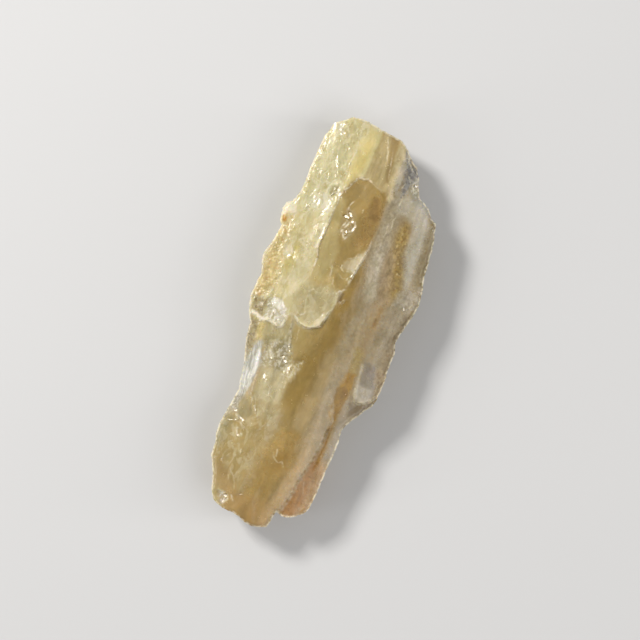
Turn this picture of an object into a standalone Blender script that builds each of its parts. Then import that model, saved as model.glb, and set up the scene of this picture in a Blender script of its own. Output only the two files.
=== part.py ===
"""Hokkaidoite slice: one rough slab of banded yellow opal, lying on its sawn back.

Run with: blender --background --python part.py

The frame is metres, +Z up. X runs across the slab, Y along it and Z through it. The origin is the middle of the
slab's box, in the plane of the sawn back. The shape is worked out in millimetres and written in metres.
"""

import math

import bmesh
import bpy
import numpy as np
from mathutils import Vector, noise
from mathutils.geometry import delaunay_2d_cdt

NAME = "hokkaidoite_slice"
MM = 0.001

# Driving dimensions, in millimetres.
THICKNESS = 12.4  # the crown of the broken face above the sawn back
CROWN_X = -2.5  # the crown lies left of the middle
RADIUS_ACROSS = 66.0  # of the crown's curve across the slab
RADIUS_ALONG = 290.0  # of the crown's curve along the slab
SWELL = 0.45  # height of the long ripples on the face
RIM_HEIGHT = 7.6  # of the slab's widest line above the back
RIM_SWING = 1.2  # how far that line wanders up and down
SHOULDER = 2.6  # width of the rounded shoulder inside the rim
SHOULDER_POWER = 2.0  # how full the shoulder is
STEP_FOOT = 0.7  # from the edge of a step to its foot, seen from above
BACK_INSET = 2.2  # from the widest line in to the back's edge, seen from above
WALL_SWING = 0.5  # how far the side wall wanders in and out
SPACING = 1.25  # between the mesh's points

OPAL_COLOUR = (0.52, 0.42, 0.22, 1.0)
OPAL_ROUGHNESS = 0.22
OPAL_IOR = 1.45

# The slab's outline from above, clockwise from its upper left corner.
OUTLINE = [
    # upper end
    (-13.3, 39.8), (-12.2, 40.6), (-11.3, 41.4), (-10.0, 42.5), (-6.7, 42.7), (-3.1, 42.1), (0.9, 41.6),
    (2.0, 40.9), (3.0, 40.1), (4.3, 38.7), (5.8, 37.7), (6.9, 36.0), (7.9, 33.5), (8.8, 32.0),
    # right edge, down to where the slab narrows
    (10.8, 31.1), (12.6, 29.1), (13.7, 28.4), (14.2, 26.9), (14.8, 24.4), (15.4, 20.1), (15.6, 17.6), (16.2, 15.0),
    (16.6, 13.1), (16.7, 11.4), (16.4, 8.9), (15.9, 7.1), (15.3, 4.2), (15.15, 2.6), (15.8, 1.1), (15.8, -2.9),
    (16.05, -5.9), (15.9, -9.9), (15.4, -11.2), (14.5, -12.3), (13.6, -13.9), (12.3, -16.0), (11.6, -17.7),
    # right edge of the narrow end
    (12.0, -20.4), (12.0, -22.8), (11.8, -25.0), (11.8, -31.0), (11.5, -35.0), (10.7, -36.6), (9.3, -37.7),
    (8.0, -38.4), (6.8, -38.5),
    # notch at the lower end, and the longer prong
    (5.5, -38.1), (5.2, -39.9), (4.8, -41.8), (3.4, -42.4), (1.7, -42.7), (0.2, -42.5), (-1.3, -41.8),
    (-2.6, -41.5), (-5.0, -41.4), (-6.3, -41.1), (-7.2, -40.6), (-8.0, -39.6),
    # left edge, up to the waist
    (-8.7, -38.1), (-9.8, -34.9), (-11.3, -32.2), (-11.4, -29.6), (-11.9, -27.9), (-12.1, -25.9), (-11.9, -23.9),
    (-11.3, -19.9), (-11.1, -17.6), (-11.8, -14.4), (-12.3, -11.9), (-13.2, -8.9), (-13.8, -6.4), (-14.0, -4.0),
    (-14.8, -2.7),
    # left edge of the wide end
    (-15.4, -1.2), (-15.9, 0.8), (-15.8, 4.1), (-15.6, 6.0), (-16.5, 8.2), (-16.7, 9.5), (-16.5, 11.1),
    (-15.9, 12.8), (-15.4, 16.6), (-16.1, 17.2), (-16.6, 19.9), (-16.2, 21.3), (-15.3, 21.9), (-14.8, 23.0),
    (-14.3, 25.1), (-14.4, 30.1), (-14.2, 36.0), (-13.9, 37.4),
]

# The line that the side walls lean towards.
SPINE = [(-3.0, 33.0), (0.5, -33.0)]

# Steps in the broken face, each a path of x, y and drop. The face drops on the path's right-hand side, as the path
# runs, and climbs back over the reach.
STEPS = {
    "upper_layer": {  # its lower edge in two lobes, then its right edge
        "reach": 13.0,
        "path": [
            (-17.5, -2.0, 1.5), (-12.6, -2.8, 1.5), (-10.8, -2.2, 1.5), (-9.2, -2.9, 1.5), (-7.9, -2.6, 1.5),
            (-7.2, -0.8, 1.5), (-6.0, 0.3, 1.5), (-4.8, -0.4, 1.5), (-3.2, -0.9, 1.5), (-1.2, -0.4, 1.5),
            (-0.3, 0.8, 1.5), (0.7, 5.0, 1.4), (1.6, 8.5, 1.3), (1.7, 12.3, 1.2), (2.7, 17.0, 0.9), (3.0, 21.0, 0.0),
        ],
    },
    "window": {  # left and upper edge of the hollow that opens to the brown layers
        "reach": 9.0,
        "path": [
            (-5.8, 4.5, 0.0), (-6.3, 9.0, 0.6), (-7.1, 15.5, 1.0), (-6.8, 20.0, 1.0), (-6.6, 25.4, 1.0),
            (-5.6, 28.0, 1.0), (-4.8, 30.4, 1.0), (-3.4, 31.2, 1.0), (-1.4, 31.0, 1.0), (0.8, 29.4, 0.7),
            (2.8, 26.0, 0.0),
        ],
    },
    "crack": {  # between the body and the right-hand prong
        "reach": 9.0,
        "path": [
            (5.4, -41.0, 1.3), (5.9, -37.0, 1.3), (6.8, -33.0, 1.3), (7.3, -28.5, 1.3), (8.1, -24.0, 1.2),
            (9.1, -19.0, 0.7), (9.2, -14.0, 0.0),
        ],
    },
    "right_lobe": {  # rim of the round lobe on the right edge
        "reach": 4.0,
        "path": [
            (10.6, -3.0, 0.0), (10.6, -7.4, 1.0), (11.3, -10.6, 1.0), (13.0, -11.2, 1.0), (15.2, -10.2, 1.0),
            (18.0, -8.4, 1.0),
        ],
    },
}

# The steep facet on the left edge: the ridge above it, as x, y and the share of the slope that is reached there.
STEEP_SLOPE = 1.7
STEEP_RIDGE = [
    (-7.6, -23.5, 0.0), (-8.0, -19.5, 1.0), (-8.7, -16.2, 1.0), (-9.0, -13.0, 1.0), (-9.4, -10.5, 1.0),
    (-10.2, -7.4, 1.0), (-11.5, -4.0, 0.0),
]
STEEP_RIM = 3.4  # how much lower the rim is at the facet
STEEP_CENTRE = (-12.5, -13.5)
STEEP_REACH = 6.0

# Rings of the side wall: the share of the rim's height, and the share of the back's inset.
WALL_RINGS = [(0.70, 0.1), (0.38, 0.36), (0.14, 0.7), (0.0, 1.0)]


def clear_scene():
    for old in list(bpy.data.objects):
        bpy.data.objects.remove(old)


def measure(points, path):
    """Each point's distance from a path, whether it lies on the right, and the path's value at the nearest place."""
    path = np.array(path, float)
    start, run = path[:-1, :2], np.diff(path[:, :2], axis=0)
    away = points[:, None, :] - start
    share = np.clip((away * run).sum(2) / (run**2).sum(1), 0, 1)
    distance = np.linalg.norm(away - share[..., None] * run, axis=2)
    turn = run[:, 0] * away[..., 1] - run[:, 1] * away[..., 0]
    nearest = np.argmin(distance - 1e-6 * np.abs(turn), axis=1)
    row = np.arange(len(points))
    value = path[nearest, 2:] + share[row, nearest, None] * np.diff(path[:, 2:], axis=0)[nearest]
    return distance[row, nearest], turn[row, nearest] < 0, value


def spread(path, spacing):
    """Points along a path of straight runs, without its last point."""
    path = np.array(path, float)[:, :2]
    pieces = []
    for start, end in zip(path, path[1:]):
        count = max(1, round(np.linalg.norm(end - start) / spacing))
        pieces.append(start + np.linspace(0, 1, count, endpoint=False)[:, None] * (end - start))
    return np.vstack(pieces)


def shifted_right(path, offset):
    """A path moved sideways to its right."""
    path = np.array(path, float)[:, :2]
    run = np.gradient(path, axis=0)
    run /= np.linalg.norm(run, axis=1)[:, None]
    return path + offset * np.column_stack([run[:, 1], -run[:, 0]])


def smooth(low, high, value):
    """0 below low, 1 above high, with an even curve between them."""
    share = np.clip((value - low) / (high - low), 0, 1)
    return share * share * (3 - 2 * share)


def waves(points, across, along, seed):
    """Noise from about -1 to 1, with waves of the given size across and along the slab."""
    return np.array([noise.noise(Vector((x / across, y / along, seed))) for x, y in points])


def rim_height(points):
    away = np.linalg.norm(points - np.array(STEEP_CENTRE), axis=1)
    dip = STEEP_RIM * np.exp(-((away / STEEP_REACH) ** 2))
    return RIM_HEIGHT + RIM_SWING * waves(points, 7.0, 9.0, 3.1) - dip


def face_height(points, rim_distance):
    """Height of the broken face above the back: a low crown with steps, rounded down to the rim."""
    x, y = points.T
    crown = THICKNESS - (x - CROWN_X) ** 2 / (2 * RADIUS_ACROSS) - y**2 / (2 * RADIUS_ALONG)
    crown += SWELL * waves(points, 6.0, 22.0, 0.4)
    for step in STEPS.values():
        distance, right, drop = measure(points, step["path"])
        foot = np.where(right, smooth(0, STEP_FOOT, distance), 0)
        crown -= drop[:, 0] * foot * np.exp(-distance / step["reach"])
    distance, right, share = measure(points, STEEP_RIDGE)
    crown -= np.where(right, 0, STEEP_SLOPE * distance * share[:, 0])
    rim = rim_height(points)
    crown = np.maximum(crown, rim)
    inside = 1 - (1 - np.clip(rim_distance / SHOULDER, 0, 1)) ** SHOULDER_POWER
    return rim + (crown - rim) * inside


def even_grid(low, high):
    """Points of even triangles over a box."""
    row_height = SPACING * math.sqrt(3) / 2
    columns = np.arange(low[0], high[0], SPACING)
    rows = np.arange(low[1], high[1], row_height)
    x, y = np.meshgrid(columns, rows)
    x[1::2] += SPACING / 2
    return np.column_stack([x.ravel(), y.ravel()])


def face_points(rim):
    """Points of the face: its rim, both edges of each step, and an even grid between them."""
    closed = np.vstack([rim, rim[:1]])
    kept = rim
    rails = [spread(step["path"], SPACING) for step in STEPS.values()]
    rails += [spread(shifted_right(step["path"], STEP_FOOT), SPACING) for step in STEPS.values()]
    for group in rails + [even_grid(rim.min(0), rim.max(0))]:
        distance, inside, _ = measure(group, closed)
        group = group[inside & (distance > 0.6 * SPACING)]
        gap = np.linalg.norm(group[:, None] - kept, axis=2).min(1)
        kept = np.vstack([kept, group[gap > 0.52 * SPACING]])
    return kept


def build_face(shape, rim):
    """The broken face in triangles."""
    points = [Vector(p) for p in face_points(rim)]
    flat, _, triangles, *_ = delaunay_2d_cdt(points, [], [list(range(len(rim)))], 1, 1e-6)
    flat = np.array(flat)
    height = face_height(flat, measure(flat, np.vstack([rim, rim[:1]]))[0])
    corners = [shape.verts.new((x * MM, y * MM, z * MM)) for (x, y), z in zip(flat, height)]
    for triangle in triangles:
        shape.faces.new([corners[i] for i in triangle])


def to_spine(points):
    """Unit steps from points on the outline towards the slab's spine."""
    start, end = np.array(SPINE)
    run = end - start
    share = np.clip((points - start) @ run / (run @ run), 0, 1)
    step = start + share[:, None] * run - points
    return step / np.linalg.norm(step, axis=1)[:, None]


def build_walls(shape, rim):
    """Rings from the rim down to the back, and the flat back that closes the last one."""
    boundary = [v for v in shape.verts if v.is_boundary]
    order = {tuple(np.round(v.co.xy / MM, 3)): v for v in boundary}
    above = [order[tuple(np.round(p, 3))] for p in rim]
    top, step = rim_height(rim), to_spine(rim)
    for height_share, inset_share in WALL_RINGS:
        swing = WALL_SWING * waves(rim, 3.0, 4.0, 7.7 + inset_share) * (1 - height_share)
        plan = rim + step * np.maximum(0.05, BACK_INSET * inset_share + swing)[:, None]
        ring = [shape.verts.new((x * MM, y * MM, z * MM)) for (x, y), z in zip(plan, top * height_share)]
        for i in range(len(ring)):
            shape.faces.new([above[i - 1], above[i], ring[i], ring[i - 1]])
        above = ring
    shape.faces.new(above)


def opal_material():
    material = bpy.data.materials.new("banded_opal")
    material.use_nodes = True
    shader = material.node_tree.nodes["Principled BSDF"]
    shader.inputs["Base Color"].default_value = OPAL_COLOUR
    shader.inputs["Roughness"].default_value = OPAL_ROUGHNESS
    shader.inputs["IOR"].default_value = OPAL_IOR
    return material


def build_slice():
    rim = spread(OUTLINE + OUTLINE[:1], SPACING)
    shape = bmesh.new()
    build_face(shape, rim)
    build_walls(shape, rim)
    bmesh.ops.triangulate(shape, faces=shape.faces)
    bmesh.ops.recalc_face_normals(shape, faces=shape.faces)
    mesh = bpy.data.meshes.new(NAME)
    shape.to_mesh(mesh)
    shape.free()
    mesh.shade_smooth()
    mesh.set_sharp_from_angle(angle=math.radians(35))
    mesh.materials.append(opal_material())
    piece = bpy.data.objects.new(NAME, mesh)
    bpy.context.scene.collection.objects.link(piece)


clear_scene()
build_slice()
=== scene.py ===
"""Looks of the hokkaidoite slice: a banded, part see-through slab of yellow opal on a pale floor.

The stone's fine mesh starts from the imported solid's widest line. Its face, side walls and sawn back are
worked out in millimetres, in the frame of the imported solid: X across the slab, Y along it, Z out of its
broken face. Colours and finishes are painted on the mesh's points, and the material makes opal of them.
"""

import math

import bpy
import bmesh
import numpy as np
from mathutils import Matrix, Vector, kdtree, noise
from mathutils.geometry import delaunay_2d_cdt


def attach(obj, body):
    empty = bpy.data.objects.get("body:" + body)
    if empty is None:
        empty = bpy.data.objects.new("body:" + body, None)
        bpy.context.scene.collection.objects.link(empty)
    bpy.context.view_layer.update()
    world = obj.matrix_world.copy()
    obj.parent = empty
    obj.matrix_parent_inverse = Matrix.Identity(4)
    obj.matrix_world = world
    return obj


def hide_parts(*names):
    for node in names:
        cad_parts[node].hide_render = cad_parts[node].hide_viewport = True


NODE = "hokkaidoite_slice"
MM = 0.001

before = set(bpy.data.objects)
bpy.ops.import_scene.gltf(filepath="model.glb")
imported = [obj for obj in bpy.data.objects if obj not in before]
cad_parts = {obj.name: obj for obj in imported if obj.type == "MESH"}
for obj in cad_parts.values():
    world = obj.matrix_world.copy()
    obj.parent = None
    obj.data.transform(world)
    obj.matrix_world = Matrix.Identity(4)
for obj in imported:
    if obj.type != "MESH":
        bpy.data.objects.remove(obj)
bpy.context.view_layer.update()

# ---- The view, in millimetres ----
PHOTO_TILT = 22.0  # degrees that the slab leans to the right in the view
VIEW_AIM = (-0.90, 1.50)  # the middle of the view, on the slab
VIEW_WIDTH = 130.6  # across the view, at the view's height
VIEW_HEIGHT = 7.6  # the height of the slab's widest line
CAMERA_DISTANCE = 450.0
SENSOR = 36.0
NEAR_CLIP = 10.0

# ---- The light and the floor ----
KEY_PLACE = (-0.42, 0.38, 0.50)  # metres, in the view's own axes
LAMPS = [  # name, place, size in metres and power in watts
    ("key", KEY_PLACE, (0.16, 0.16), 5.6),
    ("fill", (0.45, -0.25, 0.60), (0.6, 0.6), 2.6),
    ("low_left", (-0.60, -0.15, 0.22), (0.12, 0.4), 0.9),
    ("low_right", (0.60, -0.05, 0.22), (0.12, 0.4), 1.0),
]
LAMP_COLOUR = (1.0, 0.96, 0.90)
ROOM_COLOUR = (1.0, 0.99, 0.97, 1.0)
ROOM_STRENGTH = 0.34
FLOOR_SIZE = 4.0  # metres
FLOOR_GAP = 0.2  # how far the floor lies under the stone, in millimetres
FLOOR_COLOUR = (0.52, 0.53, 0.55, 1.0)
FLOOR_ROUGHNESS = 0.7

# ---- The stone's main sizes in millimetres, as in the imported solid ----
THICKNESS = 12.4  # from the sawn back to the top of the dome
CROWN_X = -2.5  # where the dome is highest
CROWN_SINK = 0.1  # how far the dome stays under the thickness, to leave room for its waves
RADIUS_ACROSS = 66.0
RADIUS_ALONG = 290.0
BACK_INSET = 2.2  # how far the side walls lean in, down to the back
SPINE = [(-3.0, 33.0), (0.5, -33.0)]  # the line that the walls lean in towards

RIM_RAISE = 0.65  # share of the way up to the dome that the widest line is moved, for a crisper edge
NICK_DEPTH = 0.06  # how far the nicked rim is drawn in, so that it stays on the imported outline
EDGE_BEND = 0.12  # share of a step's drop that its upper edge already bends down, over the edge's width
EDGE_WIDTH = 0.45

# ---- The fine mesh, in millimetres ----
FINE = 0.19  # spacing of the face's points
WALL_RINGS = 18
BACK_SPACING = 1.5
SHARP_ANGLE = 30.0  # degrees

# ---- The opal ----
IOR = 1.45
SEE_THROUGH = 0.26  # transmission where no finish says otherwise
ABSORB_COLOUR = (0.94, 0.84, 0.52)
ABSORB_DENSITY = 110.0
GLOW = 0.6  # subsurface weight where the stone isn't white
GLOW_RADIUS = (1.0, 0.7, 0.3)
GLOW_DEPTH = 0.9  # millimetres
BUMP_STRENGTH = 0.5
BUMP_DEPTH = 0.1  # millimetres

# Steps in the broken face. Each path is of x, y and drop, and the face drops on its right as it runs.
# Over the foot the face falls to the drop, and over the reach it climbs back. The step's edge gets a pale
# line of painted glow and highlight, for light through and on the thin edge, with the lip for its width and
# the shine for its strength.
STEPS = [
    {  # lower edge of the upper layer: the frosted lobe, the clear lobe, then the layer's right edge
        "foot": 0.45, "reach": 9, "lip": 0.4, "shine": 0.85,
        "path": [
            (-17.5, -1.6, 0.4), (-14.8, -2.3, 0.4), (-13.2, -2.3, 0.5), (-12.2, -2.9, 0.5),
            (-11.3, -2.6, 0.5), (-10.5, -2.3, 0.5), (-9.4, -2.5, 0.5), (-8.5, -3.1, 0.5), (-7.7, -2.6, 0.5),
            (-7.4, -1.6, 0.4), (-7.4, -0.4, 0.25), (-7.1, 0.5, 0.2), (-6.3, 0.5, 0.25), (-5.5, 0.1, 0.5),
            (-4.6, -0.5, 0.7), (-3.3, -0.9, 0.8), (-2.2, -0.7, 0.8), (-1.3, -0.2, 0.8), (-0.6, 0.5, 0.8),
            (-0.25, 1.7, 0.7), (0, 3, 0.4), (0.45, 4.4, 0.2), (0.6, 5.6, 0.14), (0.7, 7.2, 0.12),
            (1.1, 8.6, 0.1), (1.5, 10.2, 0.1), (1.8, 12, 0.4), (2, 13.6, 0.45), (2.3, 15.2, 0.4),
            (2.6, 17, 0.3), (2.8, 19.2, 0.15), (2.9, 21.5, 0),
        ],
    },
    {  # left and upper edge of the hollow over the olive layers
        "foot": 0.26, "reach": 6.5, "lip": 0.28, "shine": 0.7,
        "path": [
            (-5.9, 8.4, 0), (-6.2, 10.4, 0.15), (-6.1, 12.3, 0.3), (-6.3, 13.7, 0.45),
            (-6.8, 14.9, 0.4), (-6.75, 17.4, 0.4), (-6.6, 20.2, 0.4), (-6.7, 22.6, 0.3), (-6.6, 25, 0.25),
            (-6.5, 26.5, 0.25), (-6.1, 27.9, 0.25), (-5.4, 29.1, 0.25), (-5, 30, 0.25), (-4.7, 30.8, 0.3),
            (-4, 31.15, 0.35), (-3.3, 31.3, 0.3), (-2.4, 31.6, 0.3), (-1.7, 31.35, 0.2), (-1, 31, 0.1),
            (0.6, 30.4, 0.06), (2.4, 29.6, 0),
        ],
    },
    {  # crack between the body and the right-hand prong
        "foot": 0.8, "reach": 9, "lip": 0.3, "shine": 0.3,
        "path": [
            (5.4, -41, 0.6), (5.7, -38, 0.5), (6.2, -35.9, 0.45), (6.8, -33, 0.4), (7, -30.6, 0.4),
            (7.5, -28, 0.4), (8.2, -25, 0.4), (8.6, -22, 0.4), (8.7, -19, 0.4), (8.8, -16.8, 0.4),
            (8.1, -14.8, 0.3), (7.3, -12.8, 0.2), (6.5, -11.2, 0),
        ],
    },
    {  # the far side of that crack: the prong's own edge
        "foot": 0.6, "reach": 1.6, "lip": 0.2, "shine": 0,
        "path": [
            (9.9, -13.5, 0), (9.6, -16, 0.3), (9.9, -18.5, 0.4), (9.95, -21.5, 0.4), (9.8, -24, 0.4),
            (9.6, -26.6, 0.2), (9.3, -28.5, 0),
        ],
    },
    {  # rim of the round lens on the right edge
        "foot": 0.6, "reach": 4.5, "lip": 0.5, "shine": 0.4,
        "path": [
            (10.6, -4.4, 0), (10.8, -6.4, 0.1), (11.1, -8.4, 0.2), (11.3, -10, 0.35), (11.9, -11, 0.5),
            (12.6, -11.3, 0.6), (13.5, -10.9, 0.7), (14.5, -10.2, 0.7), (15.3, -9.3, 0.7),
            (16.6, -8.6, 0.7),
        ],
    },
]

# Fine steps: ridges, thin folds and chips. Each has its drop, the shine of its edge's painted highlight and
# its path of x and y.
FINE_STEPS = [
    # upper left: the long ridge between the pale and the yellow layer, and folds beside it
    (0.20, 0.6, [(-6.9, 27.2), (-7, 30.8), (-7.35, 33), (-6.9, 35.8), (-7.35, 38.6), (-7.5, 41)]),
    (0.25, 0.9, [(-10.3, 34.2), (-9.9, 33), (-9.1, 31.3)]),
    (0.25, 0.3, [(-10.4, 37), (-11.2, 38.5), (-11.7, 39.8)]),
    (0.08, 0.4, [(-13.6, 30.2), (-12.6, 29.8), (-11.9, 30.3)]),
    (0.10, 0.5, [(-12.9, 27.9), (-11.9, 27.8), (-10.8, 27.4)]),
    (0.20, 0.9, [(-9.6, 25.6), (-9.4, 27), (-9, 28.4), (-8.6, 29.3)]),
    (0.30, 0.9, [(-7.9, 24.6), (-8.4, 25.6), (-8.1, 26.6), (-7.2, 26.9), (-6.3, 26.3)]),
    (0.10, 0.7, [(-11.4, 24.8), (-11, 23.4), (-11.2, 22.4)]),
    (0.08, 0.5, [(-12.9, 22), (-12.8, 23.6), (-13.2, 25)]),
    (0.15, 0.5, [(-12.9, 20.6), (-11.1, 21.9), (-9.1, 22.4), (-7.9, 23.6)]),
    (0.15, 0.4, [(-10.9, 17.2), (-9.6, 18.9), (-8.3, 20.3), (-7.2, 21.6)]),
    (0.08, 0.5, [(-11, 15), (-10.4, 15.6), (-9.8, 15.2), (-8.9, 15.3)]),
    (0.25, 0.9, [(-11.9, 10.4), (-11.2, 11.6), (-11.4, 12.6), (-12.1, 13.1)]),
    # between the tan stripes
    (0.12, 0.7, [(-2, 41.2), (-1.4, 39.6), (-0.8, 38.2), (-0.2, 36.4)]),
    (0.15, 0.4, [(0.1, 38.6), (0.7, 36.2), (1.4, 33)]),
    # the hollow: glassy folds, and the plate at its right edge
    (0.12, 0.8, [(-3.4, 26.6), (-3.9, 25.3), (-4, 24.3)]),
    (0.12, 0.6, [(-1.1, 25.5), (-1.2, 24.8)]),
    (0.25, 0.9, [(-2.3, 22.8), (-2.9, 21.5), (-3.5, 20.3), (-3.7, 19.4)]),
    (0.25, 0.9, [(-1.7, 22.6), (-1.3, 21.7), (-1.6, 20.6), (-2.2, 20)]),
    (0.20, 0.7, [(-3.2, 22.4), (-3.6, 21.2), (-4, 20)]),
    (0.25, 0.8, [(-3.2, 19.8), (-2.7, 18.3), (-2.2, 19.3)]),
    (0.10, 1, [(-7, 20.4), (-7.05, 18.6), (-6.95, 16.8), (-7.15, 14.8)]),
    (0.15, 0.6, [(-0.9, 14), (-0.9, 12.9), (-0.1, 12.4), (0.8, 12.7)]),
    (0.10, 0.4, [(-0.3, 15), (0.9, 16), (2.2, 16.4)]),
    (0.25, 0.8, [(1.2, 13.2), (1.9, 12.6), (1.6, 11.6), (1, 10.8)]),
    (0.10, 0.4, [(-2.2, 9), (-2.4, 11), (-2.8, 12.8)]),
    (0.12, 0.5, [(-1.6, 10.6), (-1.4, 9.4), (-0.6, 8.6)]),
    (0.10, 0.3, [(-0.9, 11.6), (0.2, 10.9), (1, 11.2)]),
    # the clear lobe and the chips on its edge
    (0.15, 0.8, [(-5.3, 6), (-4.8, 6.6), (-4.3, 6.9)]),
    (0.20, 0.6, [(-5.8, 1.4), (-5, 0.9), (-4.5, 1.4), (-4.2, 2.2)]),
    (0.15, 0.9, [(-1.9, 0.8), (-1.2, 1.8), (-0.8, 3)]),
    (0.30, 0.8, [(0.1, 7.7), (0.8, 8.5)]),
    (0.30, 0.6, [(0.9, 8.6), (1.7, 9.4)]),
    (0.40, 0.6, [(1.3, 6.1), (1.9, 6.5), (1.9, 7.1)]),
    (0.25, 0.4, [(0.4, 7), (0.6, 6.2)]),
    # under the lobes: the clear, crackled corner and the bright folds on its right
    (0.40, 0.5, [(-4.1, -7.2), (-4.8, -5.6), (-5.2, -4), (-5.9, -2.6), (-6.1, -0.8)]),
    (0.15, 0.9, [(-4.9, -5.2), (-4.4, -6.2), (-4.1, -7)]),
    (0.08, 0.3, [(-4.4, -0.9), (-4, -2.6), (-3.7, -4.4)]),
    (0.20, 0.6, [(-8.2, -7.4), (-7.6, -8.6), (-7.2, -9.3), (-6.7, -9.2)]),
    (0.15, 0.7, [(-6.6, -7.8), (-6.2, -7.3)]),
    (0.20, 0.9, [(-5.4, -8.2), (-4.6, -8.7), (-3.9, -9.1)]),
    (0.30, 1, [(-2.7, -8.9), (-3.1, -10), (-2.9, -11.2)]),
    (0.25, 0.8, [(-3.5, -9.6), (-3.6, -10.9), (-4, -11.8)]),
    (0.15, 0.6, [(-0.8, -7.8), (-1.9, -8.6), (-2.2, -10.2)]),
    (0.10, 0.6, [(-2.6, -12.2), (-2.5, -14)]),
    (0.12, 0.5, [(-5.2, -14.4), (-5, -16.2)]),
    (0.12, 0.6, [(-6, -16.4), (-5, -16.6), (-4.2, -16.4)]),
    (0.25, 0.3, [(-7.5, -12.4), (-6.8, -13.5), (-6.3, -14.6)]),
    # beside the steep facet, and the narrow end
    (0.20, 0.4, [(-8.5, -12.2), (-8.7, -14.4), (-8.5, -16.6), (-8.1, -17.8)]),
    (0.30, 0.5, [(-5.4, -21.5), (-6.1, -20.7), (-6.8, -19.7), (-7.6, -18.6), (-8.1, -17.8)]),
    (0.40, 0.7, [(-7.6, -24.2), (-8.7, -23.3), (-9.7, -22.4), (-10.6, -21.4)]),
    (0.30, 0.8, [(-6.9, -25.8), (-7.3, -26.4), (-7.9, -26.3), (-8.3, -25.4), (-8.3, -24.8)]),
    (0.12, 0.7, [(-6, -28.6), (-5.7, -29.6)]),
    (0.12, 0.5, [(-5.6, -30.6), (-5.1, -30.4)]),
    (0.15, 0.25, [(-8.4, -32.6), (-8.9, -32.2), (-8.9, -31), (-8.6, -29.8)]),
    (0.20, 0.3, [(-6.6, -33.2), (-5.8, -33.9), (-5.2, -34.6)]),
    (0.15, 0.25, [(-5.4, -34.2), (-4.6, -35.8), (-4, -37.4)]),
    (0.15, 0.3, [(-6.4, -34.6), (-5.6, -36)]),
    (0.15, 0.6, [(0.9, -26), (1.2, -27.4)]),
    (0.18, 0.5, [(0.4, -26.8), (0.9, -27.9), (1.9, -28.4), (2.7, -28.1), (3.4, -29)]),
    (0.10, 0.3, [(-4.4, -24), (-3.4, -22.6), (-2, -21.8)]),
    # the prong, and the chip at the lower end
    (0.10, 0.4, [(7, -33.6), (7.3, -34.8), (6.9, -35.8)]),
    (0.08, 0.3, [(8.4, -30), (8.8, -31.6), (9.3, -33)]),
    (0.70, 0.5, [(-7.3, -38), (-6.3, -38.2), (-5, -38.6), (-4.7, -39.4), (-5.6, -40.5)]),
    (0.20, 0.6, [(-3.5, -39.3), (-4, -38.6), (-4.4, -38)]),
    # right side: the clear patch at the top, and the knob
    (0.12, 0.6, [(4.9, 31.8), (5.4, 30), (5.2, 28.4)]),
    (0.20, 0.9, [(7.2, 35.6), (7.5, 34), (8.3, 32.8)]),
    (0.10, 0.7, [(4.4, 37.6), (5.6, 36.4), (6.6, 35.9)]),
    (0.08, 0.6, [(4.6, 35.4), (5.6, 34.6), (6, 33.2)]),
    (0.08, 0.6, [(4.9, 34), (4.5, 32.6), (4.9, 31.4)]),
    (0.15, 0.7, [(6.1, 34.6), (6.6, 33.4), (7.3, 32.4)]),
    (0.20, 0.6, [(3, 39.6), (3.8, 38.2), (4.9, 37)]),
    (0.08, 0.4, [(4.6, 24.8), (4.9, 23.2), (4.7, 21.4)]),
    (0.06, 0.4, [(5.8, 27.6), (5.3, 25.6), (5.6, 23.8)]),
    (0.15, 0.5, [(14.8, 12.2), (15.4, 11.4), (15, 10.4)]),
]

# The steep facet on the left edge: the ridge above it, as x, y and the share of its slope.
STEEP_SLOPE = 1.15
STEEP_RIDGE = [
    (-7, -23.5, 0), (-7.7, -18.9, 0.8), (-8.4, -17, 1), (-8.8, -14.8, 1), (-9, -12.6, 1),
    (-9.4, -10.4, 1), (-9.9, -8.4, 1), (-10.6, -6.6, 0.6), (-11.5, -4, 0),
]


# ---- Measuring ----
def measure(points, path):
    """Each point's distance from a path, whether it lies on the right, and the path's value beside it.

    The value is averaged along the path, over more of it the farther the point is. It fades past the path's
    ends. A path of x and y alone has the value 1.
    """
    path = np.array(path, float)
    start, run = path[:-1, :2], np.diff(path[:, :2], axis=0)
    length = np.linalg.norm(run, axis=1)
    away = points[:, None, :] - start
    along = (away * run).sum(2) / length
    share = np.clip(along / length, 0, 1)
    gap = np.linalg.norm(away - share[..., None] * run, axis=2)
    turn = (run[:, 0] * away[..., 1] - run[:, 1] * away[..., 0]) / length
    nearest = np.argmin(gap - 1e-6 * np.abs(turn), axis=1)
    row = np.arange(len(points))
    distance, right = gap[row, nearest], turn[row, nearest] < 0
    if path.shape[1] == 2:
        return distance, right, np.ones(len(points))
    weight = np.exp((distance[:, None] - gap) / (0.02 + 0.15 * distance[:, None]))
    value = (weight * (path[:-1, 2] + share * np.diff(path[:, 2]))).sum(1) / weight.sum(1)
    past = np.column_stack([-along[:, 0], along[:, -1] - length[-1]])
    past = (weight[:, [0, -1]] * np.maximum(past, 0)).max(1)
    return distance, right, value * (1 - np.clip(past / (distance + 1e-6), 0, 1))


def smooth(low, high, value):
    """0 below low, 1 above high, with an even curve between them."""
    share = np.clip((value - low) / (high - low), 0, 1)
    return share * share * (3 - 2 * share)


def waves(points, across, along, seed):
    """Noise from about -1 to 1, with waves of the given size across and along the slab."""
    return np.array([noise.noise(Vector((x / across, y / along, seed))) for x, y in points[:, :2]])


def spread(path, spacing):
    """Points along a path of straight runs, without its last point."""
    path = np.array(path, float)
    pieces = []
    for start, end in zip(path, path[1:]):
        count = max(1, round(np.linalg.norm(end[:2] - start[:2]) / spacing))
        pieces.append(start + np.linspace(0, 1, count, endpoint=False)[:, None] * (end - start))
    return np.vstack(pieces)


def tree_of(points):
    """The points' places in plan, ready for looking up the nearest ones."""
    tree = kdtree.KDTree(len(points))
    for i, (x, y) in enumerate(points[:, :2]):
        tree.insert((x, y, 0), i)
    tree.balance()
    return tree


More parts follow.
